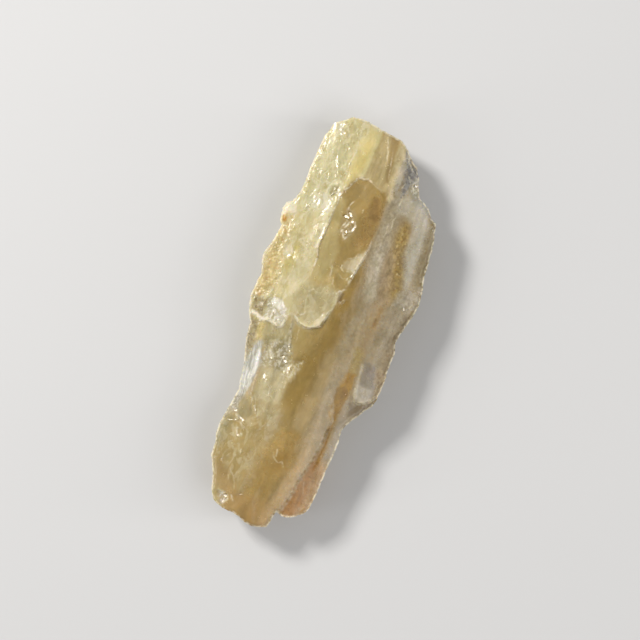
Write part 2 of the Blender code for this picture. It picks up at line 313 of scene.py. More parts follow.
def gap_to(tree, points):
    """Each point's distance in plan from the nearest point of a tree."""
    return np.array([tree.find((x, y, 0))[2] for x, y in points[:, :2]])


def shifted_right(path, offset):
    """A path in plan, moved to its right by the offset."""
    path = np.array(path, float)[:, :2]
    run = np.gradient(path, axis=0)
    run /= np.linalg.norm(run, axis=1)[:, None]
    return path + offset * np.column_stack([run[:, 1], -run[:, 0]])


def roughened(path, seed):
    """A step's path in short runs that stray a little to both sides."""
    fine = np.vstack([spread(path, 2 * FINE), path[-1]])
    fine[:, :2] += 0.16 * np.column_stack([waves(fine, 0.9, 0.9, seed), waves(fine, 0.9, 0.9, seed + 50)])
    return fine


def all_steps():
    """The main steps and the fine ones in one form. A fine step fades at both ends."""
    steps = [dict(step, path=roughened(step["path"], 60.0 + i)) for i, step in enumerate(STEPS)]
    for i, (drop, shine, path) in enumerate(FINE_STEPS):
        fade = [0.2] + [1] * (len(path) - 2) + [0.2]
        path = roughened([(x, y, drop * f) for (x, y), f in zip(path, fade)], 70.0 + i)
        steps.append({"foot": 0.14 + 0.7 * drop, "reach": 0.6 + 4.0 * drop, "lip": 0.12 + 0.3 * drop,
                      "shine": 0.8 * shine, "path": path})
    return steps


ALL_STEPS = all_steps()


# ---- The outline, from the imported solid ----
def widest_line(node):
    """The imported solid's widest line: x, y and z in millimetres, clockwise from above."""
    shape = bmesh.new()
    shape.from_mesh(node.data)
    bmesh.ops.remove_doubles(shape, verts=shape.verts, dist=1e-7)
    bmesh.ops.recalc_face_normals(shape, faces=shape.faces)
    beside = {}
    for edge in shape.edges:
        up = [face.normal.z > 1e-6 for face in edge.link_faces]
        if len(up) == 2 and up[0] != up[1]:
            for vert in edge.verts:
                beside.setdefault(vert, []).append(edge.other_vert(vert))
    line = [max(beside, key=lambda v: v.co.x)]
    line.append(min(beside[line[0]], key=lambda v: v.co.y))
    while line[-1] is not line[0]:
        line.append(next(v for v in beside[line[-1]] if v is not line[-2]))
    points = np.array([v.co for v in line]) / MM
    shape.free()
    return points


def rough_rim(line):
    """The widest line in fine steps, with small nicks. The last point isn't repeated."""
    rim = spread(line, FINE)
    run = np.roll(rim, -1, axis=0) - np.roll(rim, 1, axis=0)
    outward = np.column_stack([-run[:, 1], run[:, 0]])
    outward /= np.linalg.norm(outward, axis=1)[:, None]
    nick = 0.13 * waves(rim, 1.3, 1.3, 5) + 0.07 * waves(rim, 0.5, 0.5, 9)
    rim[:, :2] += outward * (nick - NICK_DEPTH)[:, None]
    rim[:, 2] += RIM_RAISE * (crown(rim[:, :2]) - rim[:, 2]) + 0.4 * waves(rim, 2, 2, 2)
    return rim


# ---- Colours and finishes of the stone ----
def tone(red, green, blue):
    """A colour given as a screen shows it, from 0 to 255, as the shader takes it."""
    shares = [value / 255 for value in (red, green, blue)]
    return tuple(s / 12.92 if s <= 0.04045 else ((s + 0.055) / 1.055) ** 2.4 for s in shares)


# Lines that run along the slab between its layers, each listed from its lower end up.
BROWN_LINE = [
    (1, -42), (0.8, -34), (2, -29), (2.2, -22), (0.8, -14), (1.2, -6), (2.2, 2), (2.8, 9), (1.4, 20),
    (1.2, 30), (0, 42),
]
GREY_LINE = [
    (3.4, -42), (4.6, -35), (5.9, -30), (6.6, -24), (6, -16), (5.6, -12), (5.6, -2), (5.6, 6), (5, 11),
    (4.2, 17), (4.2, 24), (4, 30), (3.2, 35), (2, 40),
]
OCHRE_LINE = [
    (8.8, -30), (9.2, -24), (9.1, -17), (8.9, -13), (9.2, -9), (8.7, -4), (9.4, 1), (9.7, 6), (10.8, 11),
    (10.6, 14), (9.2, 17), (8.5, 20), (8.3, 25), (7.9, 28),
]
LEFT_SIDE = -16.5
PALE_WIDTH = 8.0  # of the layer on the brown line's left
OUTER_LAYER = 13.2  # where the layer on the right edge begins
RIGHT_SIDE = 16.5

# Where these lines lie in the row of layers, from 0 at the left side to 1 at the right side.
LINE_PLACES = [0.0, 0.22, 0.42, 0.55, 0.72, 0.88, 1.0]

# The layers' colours at their places in that row.
LAYER_COLOURS = [
    (0.00, (190, 180, 138)),
    (0.22, (188, 173, 126)),
    (0.34, (166, 145, 92)),
    (0.42, (150, 127, 72)),
    (0.48, (153, 131, 84)),
    (0.56, (162, 147, 116)),
    (0.66, (160, 143, 112)),
    (0.72, (158, 138, 102)),
    (0.80, (162, 149, 122)),
    (0.92, (160, 147, 118)),
    (1.00, (146, 130, 94)),
]

# Areas that run through the stone. Each has its colour, how strong that is, how soft its border is, its
# finish and its ring of points.
LAYER_AREAS = [
    # the narrow end: olive and clear on the left, brown in the middle, a beige ridge on the right
    ((178, 157, 106), 0.8, 3, {"veils": 0.5},
     [(-13, -18), (-2.5, -17), (-1, -22), (-0.5, -30), (-4.5, -38), (-12, -32)]),
    ((156, 150, 120), 0.7, 1.2, {"veils": 0.3}, [(-13, -21), (-9.6, -23.5), (-10.2, -29), (-13, -31)]),
    ((182, 153, 94), 0.6, 1.6, {"grain": 0.2},
     [(0.5, -22), (4.6, -20), (5.2, -26), (3.4, -33), (1.6, -38), (-2.6, -36), (-2.4, -30)]),
    ((146, 118, 60), 0.6, 1.4, {}, [(1.4, -26), (4.6, -25.6), (4.4, -28.4), (1.8, -31), (-0.4, -31)]),
    ((172, 145, 98), 0.7, 1.6, {}, [(-9.6, -32), (-6.4, -33.4), (-3.6, -38), (-6.8, -38.4), (-9.6, -36)]),
    ((184, 159, 117), 0.8, 0.7, {"grain": 0.3},
     [(7, -22), (8.3, -24), (7, -29), (6.6, -33), (5.2, -39), (4.4, -43), (2.2, -43), (3.4, -37),
      (4.4, -32), (5.6, -27)]),
    ((178, 147, 106), 0.9, 1.4, {"grain": 0.2, "streaks": 0.6},
     [(9.4, -25), (12.6, -25), (11.6, -36), (8, -39.5), (5.8, -38.6), (8.4, -34)]),
    ((160, 118, 64), 0.9, 0.8, {"grain": 0.5, "streaks": 0.5},
     [(8.4, -24), (9.4, -24), (9.9, -29), (9.8, -34), (8.6, -37.6), (6.2, -38.4), (6.6, -34), (7.6, -29)]),
    ((178, 146, 94), 0.6, 1.6, {}, [(-4.6, -37), (3, -37), (3.4, -44), (-6, -43)]),
    # brown heart of the lower half and the beige and grey layers beside it
    ((149, 125, 66), 0.7, 1.6, {}, [(-1.8, -7), (1.4, -5), (2, -12), (0.6, -17), (-2.4, -17), (-2.2, -12)]),
    ((150, 125, 66), 0.6, 1, {}, [(0.2, 9), (3.4, 10.6), (4.6, 6), (4.2, 0), (3.2, -5), (1.6, -4), (1, 4)]),
    ((160, 145, 112), 0.5, 1.2, {"grain": 0.4, "streaks": 0.5},
     [(4.8, 6), (8.6, 6), (8.8, -8), (6.4, -12), (4.6, -6)]),
    ((178, 158, 114), 0.85, 1, {"streaks": 0.4},
     [(3.2, -4), (4.8, -4), (5.2, -12), (5, -21), (1.4, -21), (1.8, -17), (3, -13), (3, -9)]),
    ((176, 158, 124), 0.6, 1, {"grain": 0.15, "streaks": 0.6},
     [(4.6, -12), (6.6, -11.2), (8.6, -16.4), (8.4, -24), (7.4, -27), (5.6, -27), (5, -20)]),
    ((159, 149, 126), 0.75, 0.9, {"grain": 1, "streaks": 0.4},
     [(2.9, 31), (6.2, 30), (6.4, 24), (6.6, 18), (7.4, 13), (7.8, 9.6), (6, 10.4), (4.8, 13.4), (3, 17),
      (2.9, 24)]),
    ((146, 128, 100), 0.7, 0.8, {"grain": 0.9},
     [(6.6, 19), (8, 19.6), (9.6, 15), (10.4, 10), (8, 8.6), (7, 13)]),
    ((187, 182, 168), 0.85, 0.8, {"grain": 0.15, "streaks": 0.5},
     [(6.6, 31), (8.6, 32.4), (11.4, 30.6), (12.4, 27), (13.1, 22), (13, 16.4), (12.9, 13.4), (12.2, 14),
      (11.2, 17.4), (9.9, 20.6), (9.7, 24.4), (9.2, 26.4), (7.4, 27)]),
    ((130, 115, 72), 0.85, 1.2, {"grain": 0.8, "specks": 0.7},
     [(13.4, 28), (14.4, 27), (15.4, 23), (16.2, 15), (14, 14.6), (13.4, 18), (13.2, 23)]),
    ((152, 139, 113), 0.7, 1.2, {"grain": 0.4, "streaks": 0.4},
     [(10.6, 9), (14.6, 9), (14.8, 0), (12, -2.6), (10.4, 0)]),
    ((134, 118, 86), 0.75, 0.7, {"grain": 0.8, "specks": 0.6},
     [(14.8, 8.6), (16.8, 8), (16.6, -3), (13.2, -2.6), (13.4, 2.6)]),
    ((186, 179, 160), 0.5, 1, {"grain": 0.9}, [(4.2, 19), (6, 18), (7, 13), (7.8, 9), (6.4, 8.4), (5, 12)]),
    ((190, 184, 168), 0.7, 0.8, {"grain": 0.5}, [(4.6, 31.4), (8, 31.2), (8.4, 27.2), (5, 27.4)]),
    ((156, 154, 146), 0.7, 0.7, {"grain": 0.5}, [(6.6, 33.4), (12.4, 31), (13, 28.8), (10, 30), (7.4, 31)]),
    # stains between the grey layers
    ((156, 136, 86), 0.55, 1.8, {"grain": 1, "specks": 0.6},
     [(7.4, 27), (8.4, 27.6), (9.4, 25), (9.8, 22), (9.4, 19.4), (11.6, 15.2), (12.4, 12.4), (11, 9.4),
      (9.6, 12.6), (8.6, 16), (7.4, 20), (6.3, 23)]),
    ((152, 130, 70), 0.8, 0.7, {"grain": 1, "specks": 1, "crust": 0.5},
     [(7.9, 26.3), (8.6, 26), (9.3, 24.4), (9.5, 22.6), (9.2, 19.8), (10.4, 17.4), (11.4, 15.4),
      (12.2, 13.4), (11.6, 11), (10.8, 11.4), (10.2, 14), (9.2, 16.6), (8.2, 19.4), (7, 22.6),
      (7.3, 24.8)]),
    ((150, 124, 78), 0.6, 0.4, {"grain": 0.7}, [(9.3, 8.6), (10.2, 8.4), (10.1, 3.8), (9.4, 3.6)]),
    ((164, 146, 92), 0.7, 0.8, {"grain": 0.2}, [(8, -0.6), (10, -1.4), (10.2, -6), (8.4, -7)]),
    ((152, 119, 50), 0.95, 0.5, {"grain": 0.6, "specks": 0.4},
     [(8.3, -6), (9.8, -6.4), (10.3, -9.4), (10, -12.4), (9.7, -14.4), (9, -17.4), (7.9, -15.6),
      (7.5, -11.4)]),
    ((143, 109, 46), 0.85, 0.3, {"grain": 0.3},
     [(8.9, -15.6), (9.5, -16), (9.8, -20), (9.9, -26), (9, -26), (8.9, -20)]),
    ((158, 148, 132), 0.7, 0.7, {"grain": 0.1},
     [(10.4, -11.8), (11.4, -11.6), (12, -15), (12.4, -23), (10.4, -25), (10.2, -16)]),
]

# Areas that lie only in the skin of the broken face.
FACE_AREAS = [
    # the upper layer, its yellow streak and the tan stripes beside it
    ((206, 197, 152), 0.95, 0.3, {"veils": 1, "facets": 0.05},
     [(-17, -2.6), (-17, 43), (-3.2, 43), (-3.4, 31.4), (-5, 31.2), (-6.6, 27.4), (-6.8, 14.6),
      (-6.2, 12), (-6, 8.4), (-4.2, 7), (-1.6, 8.6), (0.8, 7.8), (0.5, 4.6), (-0.3, 0.8), (-3.2, -1),
      (-7.2, 0.4), (-7.6, -2.9)]),
    ((200, 188, 142), 0.6, 2.5, {"veils": 0.8}, [(-13, 22), (-7, 20), (-6.6, 10), (-8, 3), (-13, 3)]),
    ((221, 212, 174), 0.8, 0.9, {"veils": 0.6},
     [(-9.4, 14.6), (-6.9, 14), (-6.4, 8), (-7.4, 3.4), (-9, 4)]),
    ((206, 190, 110), 0.5, 0.8, {},
     [(-11.6, 14.8), (-10.2, 13.8), (-9.8, 10), (-11, 7), (-12.4, 9.6), (-11.2, 12)]),
    ((202, 186, 104), 0.5, 0.9, {}, [(-14.2, 35.6), (-12.6, 35), (-12.4, 31.4), (-14.2, 30.6)]),
    ((205, 199, 158), 0.9, 1.5, {"veils": 1, "facets": 0.1},
     [(-14, 38), (-8, 36), (-7.4, 28), (-7.2, 21), (-13.6, 21), (-14.6, 30)]),
    ((216, 203, 148), 0.85, 0.7, {},
     [(-7, 29), (-6.9, 37), (-6, 41.6), (-3.8, 41.6), (-3.4, 36), (-4.4, 31.4), (-6, 28.6)]),
    ((214, 198, 128), 0.6, 0.9, {}, [(-6.2, 32), (-5.4, 38.8), (-4.2, 38), (-4.2, 33.2), (-5.2, 31.2)]),
    ((214, 204, 158), 0.5, 0.5, {"streaks": 0.6},
     [(-3.9, 41.8), (-3, 41.8), (-2.6, 36), (-3.2, 32), (-4, 33)]),
    ((190, 174, 130), 0.9, 0.5, {"streaks": 1.0},
     [(-3.2, 42.2), (1, 41.6), (1.8, 37), (2.4, 32), (2, 29.8), (0.6, 30.4), (-1.2, 31.2), (-3.6, 31.6),
      (-2.8, 36)]),
    ((154, 130, 82), 0.7, 0.25, {},
     [(-1.4, 41.6), (0.6, 41.2), (0.8, 37.6), (1.6, 32.4), (0.9, 32.2), (-0.2, 37.4)]),
    ((216, 204, 168), 0.85, 0.6, {"streaks": 0.4},
     [(0.9, 41.6), (2.4, 40.2), (3.6, 37.6), (3.2, 29), (2.4, 29.4), (1.8, 36)]),
    ((226, 222, 206), 0.8, 0.4, {"veils": 1, "facets": 0.6},
     [(-12.2, 40), (-11.4, 40.2), (-10.8, 38), (-11.6, 37.8)]),
    ((156, 146, 106), 0.6, 0.3, {"veils": 0.5, "facets": 0.8},
     [(-8.7, 27.6), (-7.5, 28.4), (-7.3, 26.9), (-8.2, 25.2), (-8.9, 26)]),
    ((222, 218, 198), 0.6, 0.7, {"veils": 1, "facets": 0.5},
     [(-11.8, 25), (-9, 26), (-7.2, 24.6), (-7.4, 22.4), (-11.4, 22)]),
    ((222, 214, 184), 0.6, 0.5, {"veils": 1, "facets": 0.3},
     [(-8, 20.4), (-6.9, 20.4), (-6.9, 14.8), (-7.8, 14.4)]),
    # bright strip on the hollow's left edge: painted glow and highlight
    ((240, 234, 212), 0.8, 0.25, {"facets": 0.4},
     [(-7.4, 19.4), (-6.8, 19.2), (-6.85, 14.8), (-7.4, 14.6)]),
    ((172, 166, 152), 0.8, 0.5, {"grain": 0.5}, [(2.6, 40.4), (4.4, 38.6), (4, 30.8), (3, 31)]),
    # the hollow
    ((182, 163, 108), 0.95, 1.2, {"facets": 0.2},
     [(-6.2, 14.6), (2.4, 15), (1.9, 12), (1.2, 9), (-1, 7.6), (-3.4, 8.2), (-5.6, 7.2), (-6, 11)]),
    ((170, 147, 92), 0.95, 0.25, {"facets": 0.2},
     [(-6.5, 13), (-6.8, 14.6), (-6.6, 22), (-6.5, 27), (-4.8, 31), (-2.2, 31.5), (-0.4, 30.9),
      (1.4, 29.4), (2.1, 27), (2.4, 22), (2.6, 17), (2.1, 13.6), (-2, 12.4)]),
    ((188, 174, 124), 0.8, 0.7, {"facets": 0.1},
     [(-6.8, 26.6), (-5.2, 26), (-4.2, 20), (-2.6, 15.6), (-2.9, 12), (-3.8, 9), (-5.8, 9), (-6.2, 12.6),
      (-6.8, 15)]),
    ((153, 126, 74), 0.8, 0.9, {"streaks": 0.3, "grain": 0.3},
     [(-0.8, 25.6), (-0.2, 29), (1.2, 29.2), (2.3, 27.6), (2.8, 24), (2.8, 19.6), (1.6, 18), (-0.6, 18)]),
    ((130, 102, 56), 0.6, 0.7, {"grain": 0.7},
     [(0.2, 28.4), (1.4, 28.6), (2.3, 27), (2.6, 23.6), (0.4, 24.4)]),
    ((164, 143, 94), 0.7, 1, {}, [(-4.8, 30.6), (-1.6, 31.4), (-0.8, 27.4), (-4.2, 26.4)]),
    ((164, 148, 108), 0.6, 0.6, {"facets": 0.7, "frost": 0.12},
     [(-4.2, 24.6), (-2, 24), (-1.2, 21), (-2, 18.2), (-3.8, 18.8)]),
    ((202, 188, 152), 0.75, 0.5, {"streaks": 0.7},
     [(-0.9, 13.6), (-0.4, 14.6), (0.8, 15.6), (2.4, 17.6), (2.1, 14.2), (0.9, 12.6), (-0.6, 12.7)]),
    ((216, 205, 174), 0.85, 0.7, {"frost": 0.1, "streaks": 0.6},
     [(0.4, 13.2), (0.8, 15), (1.9, 16.4), (2.3, 15.8), (2, 13.4), (1.2, 12.8)]),
    ((192, 172, 120), 0.6, 0.35, {"veils": 0.4}, [(-3.2, 13.6), (-2.6, 12.8), (-2.3, 9.4), (-2.9, 9.2)]),
    ((160, 138, 84), 0.6, 0.6, {"facets": 0.6},
     [(-1.6, 11.4), (1.4, 11.4), (1.2, 8.6), (-0.6, 8.4), (-1.4, 9.4)]),
    # dark strip beside the upper layer's right edge: painted shadow of the step
    ((128, 104, 58), 0.6, 0.3, {}, [(1.9, 14.2), (2.5, 14.4), (2.6, 10), (2, 9.6)]),
    # painted shade just below the clear lobe's lower edge
    ((160, 142, 88), 0.6, 0.9, {}, [(-5.2, -1.2), (-2, -1.6), (-1.4, -5), (-4.2, -5.6)]),
    # the clear lobe and the chips on its edge
    ((190, 178, 137), 0.85, 1.1, {"veils": 0.7, "clear": 0.25},
     [(-6, 8.2), (-4, 7.4), (-1.6, 8.6), (0.8, 7.8), (0.3, 3.6), (-0.6, 0.6), (-2.4, -0.8), (-4.2, -0.7),
      (-6, 0.4), (-7.6, 1.4), (-7.4, 5)]),
    # pale bands along the clear lobe's lower edge: painted glow of light through its thin edge
    ((214, 202, 164), 0.6, 0.35, {},
     [(0, 3.4), (-0.7, 0.5), (-2.2, -0.8), (-4.4, -0.6), (-4, 0), (-2.4, 0.2), (-1.2, 1.6)]),
    ((230, 221, 188), 0.75, 0.35, {}, [(-2, 0), (-0.8, 0.5), (-0.2, 2.4), (-0.5, 3.2), (-1.3, 1.8)]),
    ((110, 88, 48), 0.7, 0.3, {"facets": 1.0}, [(0.7, 8.2), (1.6, 8.2), (1.8, 6.4), (0.9, 6.2)]),
    # frosted lobe
    ((156, 142, 106), 0.8, 0.5, {"facets": 0.5, "specks": 0.8, "frost": 0.15},
     [(-15.2, 1.2), (-12.2, 1.4), (-11.6, -2.4), (-14.6, -2.2)]),
    ((180, 172, 146), 0.85, 0.4, {"facets": 0.6, "frost": 0.6},
     [(-12.2, 1.6), (-11, 2.4), (-9, 2), (-7.6, 0.8), (-7.4, -1.8), (-8.4, -3), (-9.6, -2.4),
      (-11.6, -2.5)]),
    ((226, 223, 212), 0.85, 0.4, {"facets": 0.7, "frost": 0.7},
     [(-11.4, 2.6), (-9.6, 2.2), (-8.2, 1.2), (-8.9, 0.4), (-10.4, 0.6), (-11.2, 1.4)]),
    ((204, 199, 182), 0.7, 0.4, {"facets": 0.3, "frost": 0.4},
     [(-9.6, -0.4), (-7.9, -0.4), (-7.9, -2), (-9.2, -2)]),
    # white band along the frosted lobe's lower edge: crystalline frost, with a painted glow of its thin edge
    ((230, 224, 206), 0.75, 0.25, {"frost": 0.4, "facets": 0.6},
     [(-14.6, -1.6), (-13.2, -1.8), (-12.2, -2.2), (-10.6, -1.8), (-9.2, -2), (-7.6, -1.8), (-7.5, -2.6),
      (-8.5, -3.1), (-9.4, -2.6), (-10.6, -2.4), (-12.2, -3), (-13.4, -2.4), (-14.6, -2.3)]),
    # golden crust on the left edge, with white and rusty spots
    ((196, 181, 132), 0.9, 0.9, {"grain": 0.6, "crust": 1, "facets": 0.5},
     [(-17, 20), (-14, 19.6), (-13.4, 16), (-12.6, 13), (-12.6, 9), (-12, 6), (-12.4, 3), (-14, 1.6),
      (-17, 1.4)]),
    ((188, 164, 108), 0.4, 0.8, {"grain": 0.8, "crust": 1.0},
     [(-15.2, 11), (-13.8, 11), (-13.4, 4), (-14.2, 2), (-15.4, 3)]),
    ((206, 198, 172), 0.6, 0.5, {"facets": 0.5},
     [(-17.2, 15), (-15.9, 15.4), (-16, 11), (-15.6, 3.6), (-17.2, 3)]),
    ((238, 232, 210), 0.85, 0.5, {"crust": 0.4}, [(-17, 22.4), (-14.2, 22.6), (-13.4, 19.8), (-17, 18.6)]),
    ((218, 211, 184), 0.5, 0.35, {"frost": 0.3, "facets": 0.7},
     [(-13.2, 13.2), (-12, 13.4), (-11.2, 12.4), (-11.9, 10.6), (-12.8, 10.8)]),
    ((168, 120, 24), 0.95, 0.3, {"grain": 1}, [(-15.7, 18.4), (-14.9, 18.2), (-14.8, 17.4), (-15.6, 17.2)]),
    ((158, 118, 44), 0.75, 0.4, {"grain": 1}, [(-15, 2.4), (-13.8, 2.2), (-13.9, 1.4), (-14.8, 1.3)]),
    # left edge below the lobes: clear edge, ochre spot, the streaked white steep facet and the brown strip
    # beside it. The facet's brightness is partly a painted reflection of the light.
    ((160, 148, 114), 0.75, 0.5, {"facets": 0.4, "specks": 0.9, "grain": 0.5},
     [(-15, -2.6), (-12.2, -3), (-11.6, -7), (-11.8, -12.6), (-13.6, -10)]),
    ((194, 176, 102), 0.4, 0.5, {"grain": 0.6, "crust": 0.5},
     [(-12, -3.4), (-10.8, -3.6), (-10.8, -6), (-11.4, -7), (-12.1, -5.6)]),
    ((192, 173, 142), 0.8, 0.3, {"streaks": 0.4},
     [(-9.6, -7), (-8.6, -8), (-7.9, -12), (-8.2, -17.8), (-9.2, -18), (-8.9, -12)]),
    # the steep facet: streaked white, its brightness partly a painted reflection of the light
    ((176, 175, 165), 0.95, 0.35, {"silver_sheen": 0.5, "facets": 0.2},
     [(-10.8, -6.6), (-9.9, -7), (-9.5, -8.6), (-9, -10.4), (-8.8, -13), (-9, -16), (-9.5, -17.4),
      (-9.7, -18.6), (-10, -20.6), (-11.8, -21.6), (-11.8, -17.8), (-12.4, -13.6), (-12, -11),
      (-11.5, -9)]),
    # the facet's brightest part: painted reflection of the light
    ((250, 250, 246), 0.95, 0.4, {"silver_sheen": 0.3, "facets": 0.2},
     [(-10.2, -8.4), (-9.7, -8.8), (-9.1, -11), (-9, -13.6), (-9.6, -14.6), (-9.9, -11.8)]),
    ((240, 240, 236), 0.75, 0.6, {"silver_sheen": 0.6, "facets": 0.3},
     [(-11.2, -13.4), (-10.2, -13.6), (-9.9, -16.8), (-11.4, -17.2)]),
    ((158, 150, 126), 0.7, 0.3, {"grain": 0.5},
     [(-12.6, -9.6), (-11.7, -9.4), (-11.6, -12.2), (-12.3, -12.4)]),
    ((158, 152, 134), 0.85, 0.5, {"frost": 0.35, "facets": 0.8, "specks": 0.4},
     [(-12, -18.2), (-10, -18.6), (-9.4, -21.6), (-11.8, -23)]),
    # clear corner with its glints, and the glassy olive part under it
    ((163, 153, 110), 0.85, 0.9, {"clear": 0.3, "veils": 0.5},
     [(-10.6, -2.8), (-7.4, -2.4), (-6, -1.4), (-4.8, -4.6), (-3.6, -8), (-6, -7.6), (-9.4, -8.6)]),
    ((188, 176, 136), 0.8, 0.6, {"veils": 0.5},
     [(-10.6, -3), (-7.4, -2.8), (-6.4, -2.4), (-5.8, -4.4), (-8, -5.2), (-10.2, -5.2)]),
    ((146, 136, 104), 0.8, 0.8, {"facets": 0.7, "frost": 0.32, "veils": 0.5},
     [(-9.4, -6.6), (-6.4, -5.4), (-4.4, -5.6), (-3.6, -8), (-3, -10.4), (-5, -11.4), (-8.8, -11.6)]),
    ((197, 187, 151), 0.85, 0.9, {"facets": 0.4, "veils": 0.4, "streaks": 0.5},
     [(-8, -11.6), (-2.4, -10.6), (-2.2, -17.6), (-4.4, -18.6), (-7.4, -17.6), (-8, -14)]),
    ((180, 164, 116), 0.6, 0.6, {"frost": 0.25, "facets": 0.6, "veils": 0.5},
     [(-4, -8.4), (-2.4, -8.4), (-0.8, -7.6), (-1.2, -10), (-2.2, -13), (-3.8, -11.8)]),
    ((178, 166, 128), 0.7, 0.8, {"veils": 0.6}, [(-7, -17.8), (-2.2, -18), (-1.6, -21.4), (-5.6, -21.4)]),
    ((168, 158, 120), 0.7, 0.6, {"clear": 0.3},
     [(-9.8, -18.8), (-8, -18.8), (-6.4, -21.4), (-8.4, -23.4), (-9.8, -21.6)]),
    # right side: clear patch at the top, whitish knob, lens and shelf
    ((115, 116, 117), 0.9, 0.6, {"clear": 0.5, "facets": 0.4, "frost": 0.2, "streaks": 0.6},
     [(2.6, 40), (4.2, 38.2), (4.6, 37.8), (6.6, 37.2), (7.4, 35), (6.2, 33.8), (5, 30.6), (4.2, 33.6),
      (4, 37)]),
    ((168, 164, 148), 0.7, 0.5, {"frost": 0.3, "facets": 0.4},
     [(6.6, 36), (7.6, 35.4), (8.8, 32.4), (7, 31.2), (5.6, 32), (6, 33.8)]),
    ((151, 141, 120), 0.85, 0.7, {"grain": 1, "frost": 0.13, "facets": 0.6},
     [(11.8, 12.2), (13.4, 13.6), (16.2, 13.4), (16.6, 10.6), (15, 9.4), (13.2, 9.4), (12, 10)]),
    ((151, 143, 128), 0.85, 0.4, {"clear": 0.4},
     [(10.8, -3.2), (11, -6.6), (11.4, -9.6), (12.2, -10.9), (13.4, -10.6), (14.8, -9.4), (15, -6.4),
      (13.8, -3.6), (12.2, -2.6)]),
    ((180, 172, 156), 0.6, 0.6, {"frost": 0.15},
     [(11.2, -7.4), (11.5, -10), (12.6, -11), (14, -10.2), (14.4, -8), (12.6, -7.6)]),
    ((140, 128, 114), 0.6, 0.8, {"clear": 0.3}, [(11.4, -3.4), (13.4, -3.6), (13.6, -5.6), (11.8, -5.8)]),
    # pale band on the lens's left and lower rim: painted highlight
    ((200, 194, 180), 0.6, 0.3, {},
     [(10.3, -3.8), (10.8, -3.8), (11.2, -7), (11.9, -9.8), (13, -10.4), (14.6, -9.6), (14.9, -9.9),
      (13.2, -11.2), (11.6, -10.8), (10.8, -8)]),
    ((158, 140, 108), 0.8, 0.6, {"grain": 0.8, "specks": 1.0},
     [(13.4, -3.4), (16.4, -3), (16.4, -8.6), (15, -8.2), (14, -5.4)]),
    # the shelf under the lens, darker: painted shade below the lens's rim
    ((130, 116, 94), 0.9, 0.5, {"streaks": 0.3},
     [(10.8, -11.8), (12.4, -11.8), (14, -11.2), (15.6, -10), (15, -11.6), (13.6, -13.8), (11.8, -14.4)]),
    ((126, 92, 34), 0.6, 0.4, {"grain": 0.6}, [(8.8, -9.4), (9.7, -9.6), (9.6, -11.4), (8.9, -11.6)]),
    ((126, 98, 56), 0.7, 0.15, {}, [(9.4, 6.2), (9.8, 6), (9.7, 4), (9.4, 4.2)]),
    # the chip at the lower end
    ((184, 168, 146), 0.8, 0.4, {"frost": 0.5, "facets": 1},
     [(-7, -38), (-5.6, -38.3), (-4.8, -39.4), (-5.3, -40.6), (-6, -40.4), (-6.5, -39.2)]),
]

# Small smooth breaks that face the key light: x, y and radius.
GLINTS = [
    (-11.5, 39, 0.35), (-11.2, 38.1, 0.25), (-10.7, 37.5, 0.2), (-9.6, 32.5, 0.3), (-9.3, 31.7, 0.25),
    (-7.3, 33.1, 0.2), (-4.8, 39.3, 0.15), (-0.4, 36.7, 0.15), (-0.6, 33.6, 0.15), (-8.2, 26.2, 0.3),
    (-6.6, 26.6, 0.3), (-11.2, 23.3, 0.2), (-11.3, 22.3, 0.15), (-8.5, 21.7, 0.15), (-7.3, 23.8, 0.2),
    (-6.9, 18.2, 0.3), (-7, 16.9, 0.25), (-12.2, 17.2, 0.2), (-11, 17.2, 0.15), (-9.2, 15.3, 0.2),
    (-8.9, 12.7, 0.15), (-3.7, 22.9, 0.45), (-3.2, 23.7, 0.4), (-2.2, 22.4, 0.3), (-1.7, 20.8, 0.25),
    (-2.7, 20.1, 0.3), (-2.8, 19.4, 0.25), (-1.2, 25.3, 0.2), (1.8, 13.4, 0.2), (1.3, 13, 0.15),
    (5.4, 17.6, 0.2), (10.9, 13, 0.2), (10.1, 16.2, 0.15), (9.1, 13.1, 0.15), (-11.4, 2.7, 0.25),
    (-10.6, 1.4, 0.25), (-9.1, 1.2, 0.25), (-8.8, -1.6, 0.25), (-10.2, -0.4, 0.25), (-0.8, 2.6, 0.25),
    (-4.7, 1.2, 0.2), (-13.3, -5.7, 0.2), (-4.7, -5.7, 0.25), (-4.3, -6.5, 0.25), (-6.3, -7.4, 0.2),
    (-5, -8.2, 0.35), (-4.2, -8.9, 0.35), (-7.2, -9.2, 0.25), (-3.1, -10, 0.35), (-3, -10.8, 0.3),
    (-3.8, -10.8, 0.2), (-7, -13.2, 0.4), (-6.5, -14, 0.3), (-5, -16.4, 0.2), (-5.2, -15, 0.15),
    (-3.1, -18.8, 0.2), (-6.2, -20.4, 0.2), (-10.1, -22, 0.25), (-9.3, -22.8, 0.2), (-8.4, -23.4, 0.2),
    (-7.6, -26.4, 0.25), (9.5, -10.6, 0.2), (-9.6, -10.6, 0.25), (-1.2, -26.6, 0.2), (-5.7, -29.2, 0.2),
    (-5.2, -30.5, 0.2), (-8.9, -32.3, 0.25), (-2.5, -37.3, 0.2), (-5.4, -38.8, 0.4), (-4.2, -39, 0.2),
    (14, 9.9, 0.3), (7, 34, 0.3), (13.5, 27, 0.2),
]

# The finish of the broken side walls.
WALL_FINISH = {"streaks": 0.8, "veils": 0.6, "grain": 0.5}

FINISHES = ("veils", "grain", "streaks", "specks", "crust", "frost", "silver_sheen", "clear", "facets")


def line_at(y, line):
    """The x of a line that runs along the slab, at each y."""
    line = np.array(line, float)
    return np.interp(y, line[:, 1], line[:, 0])


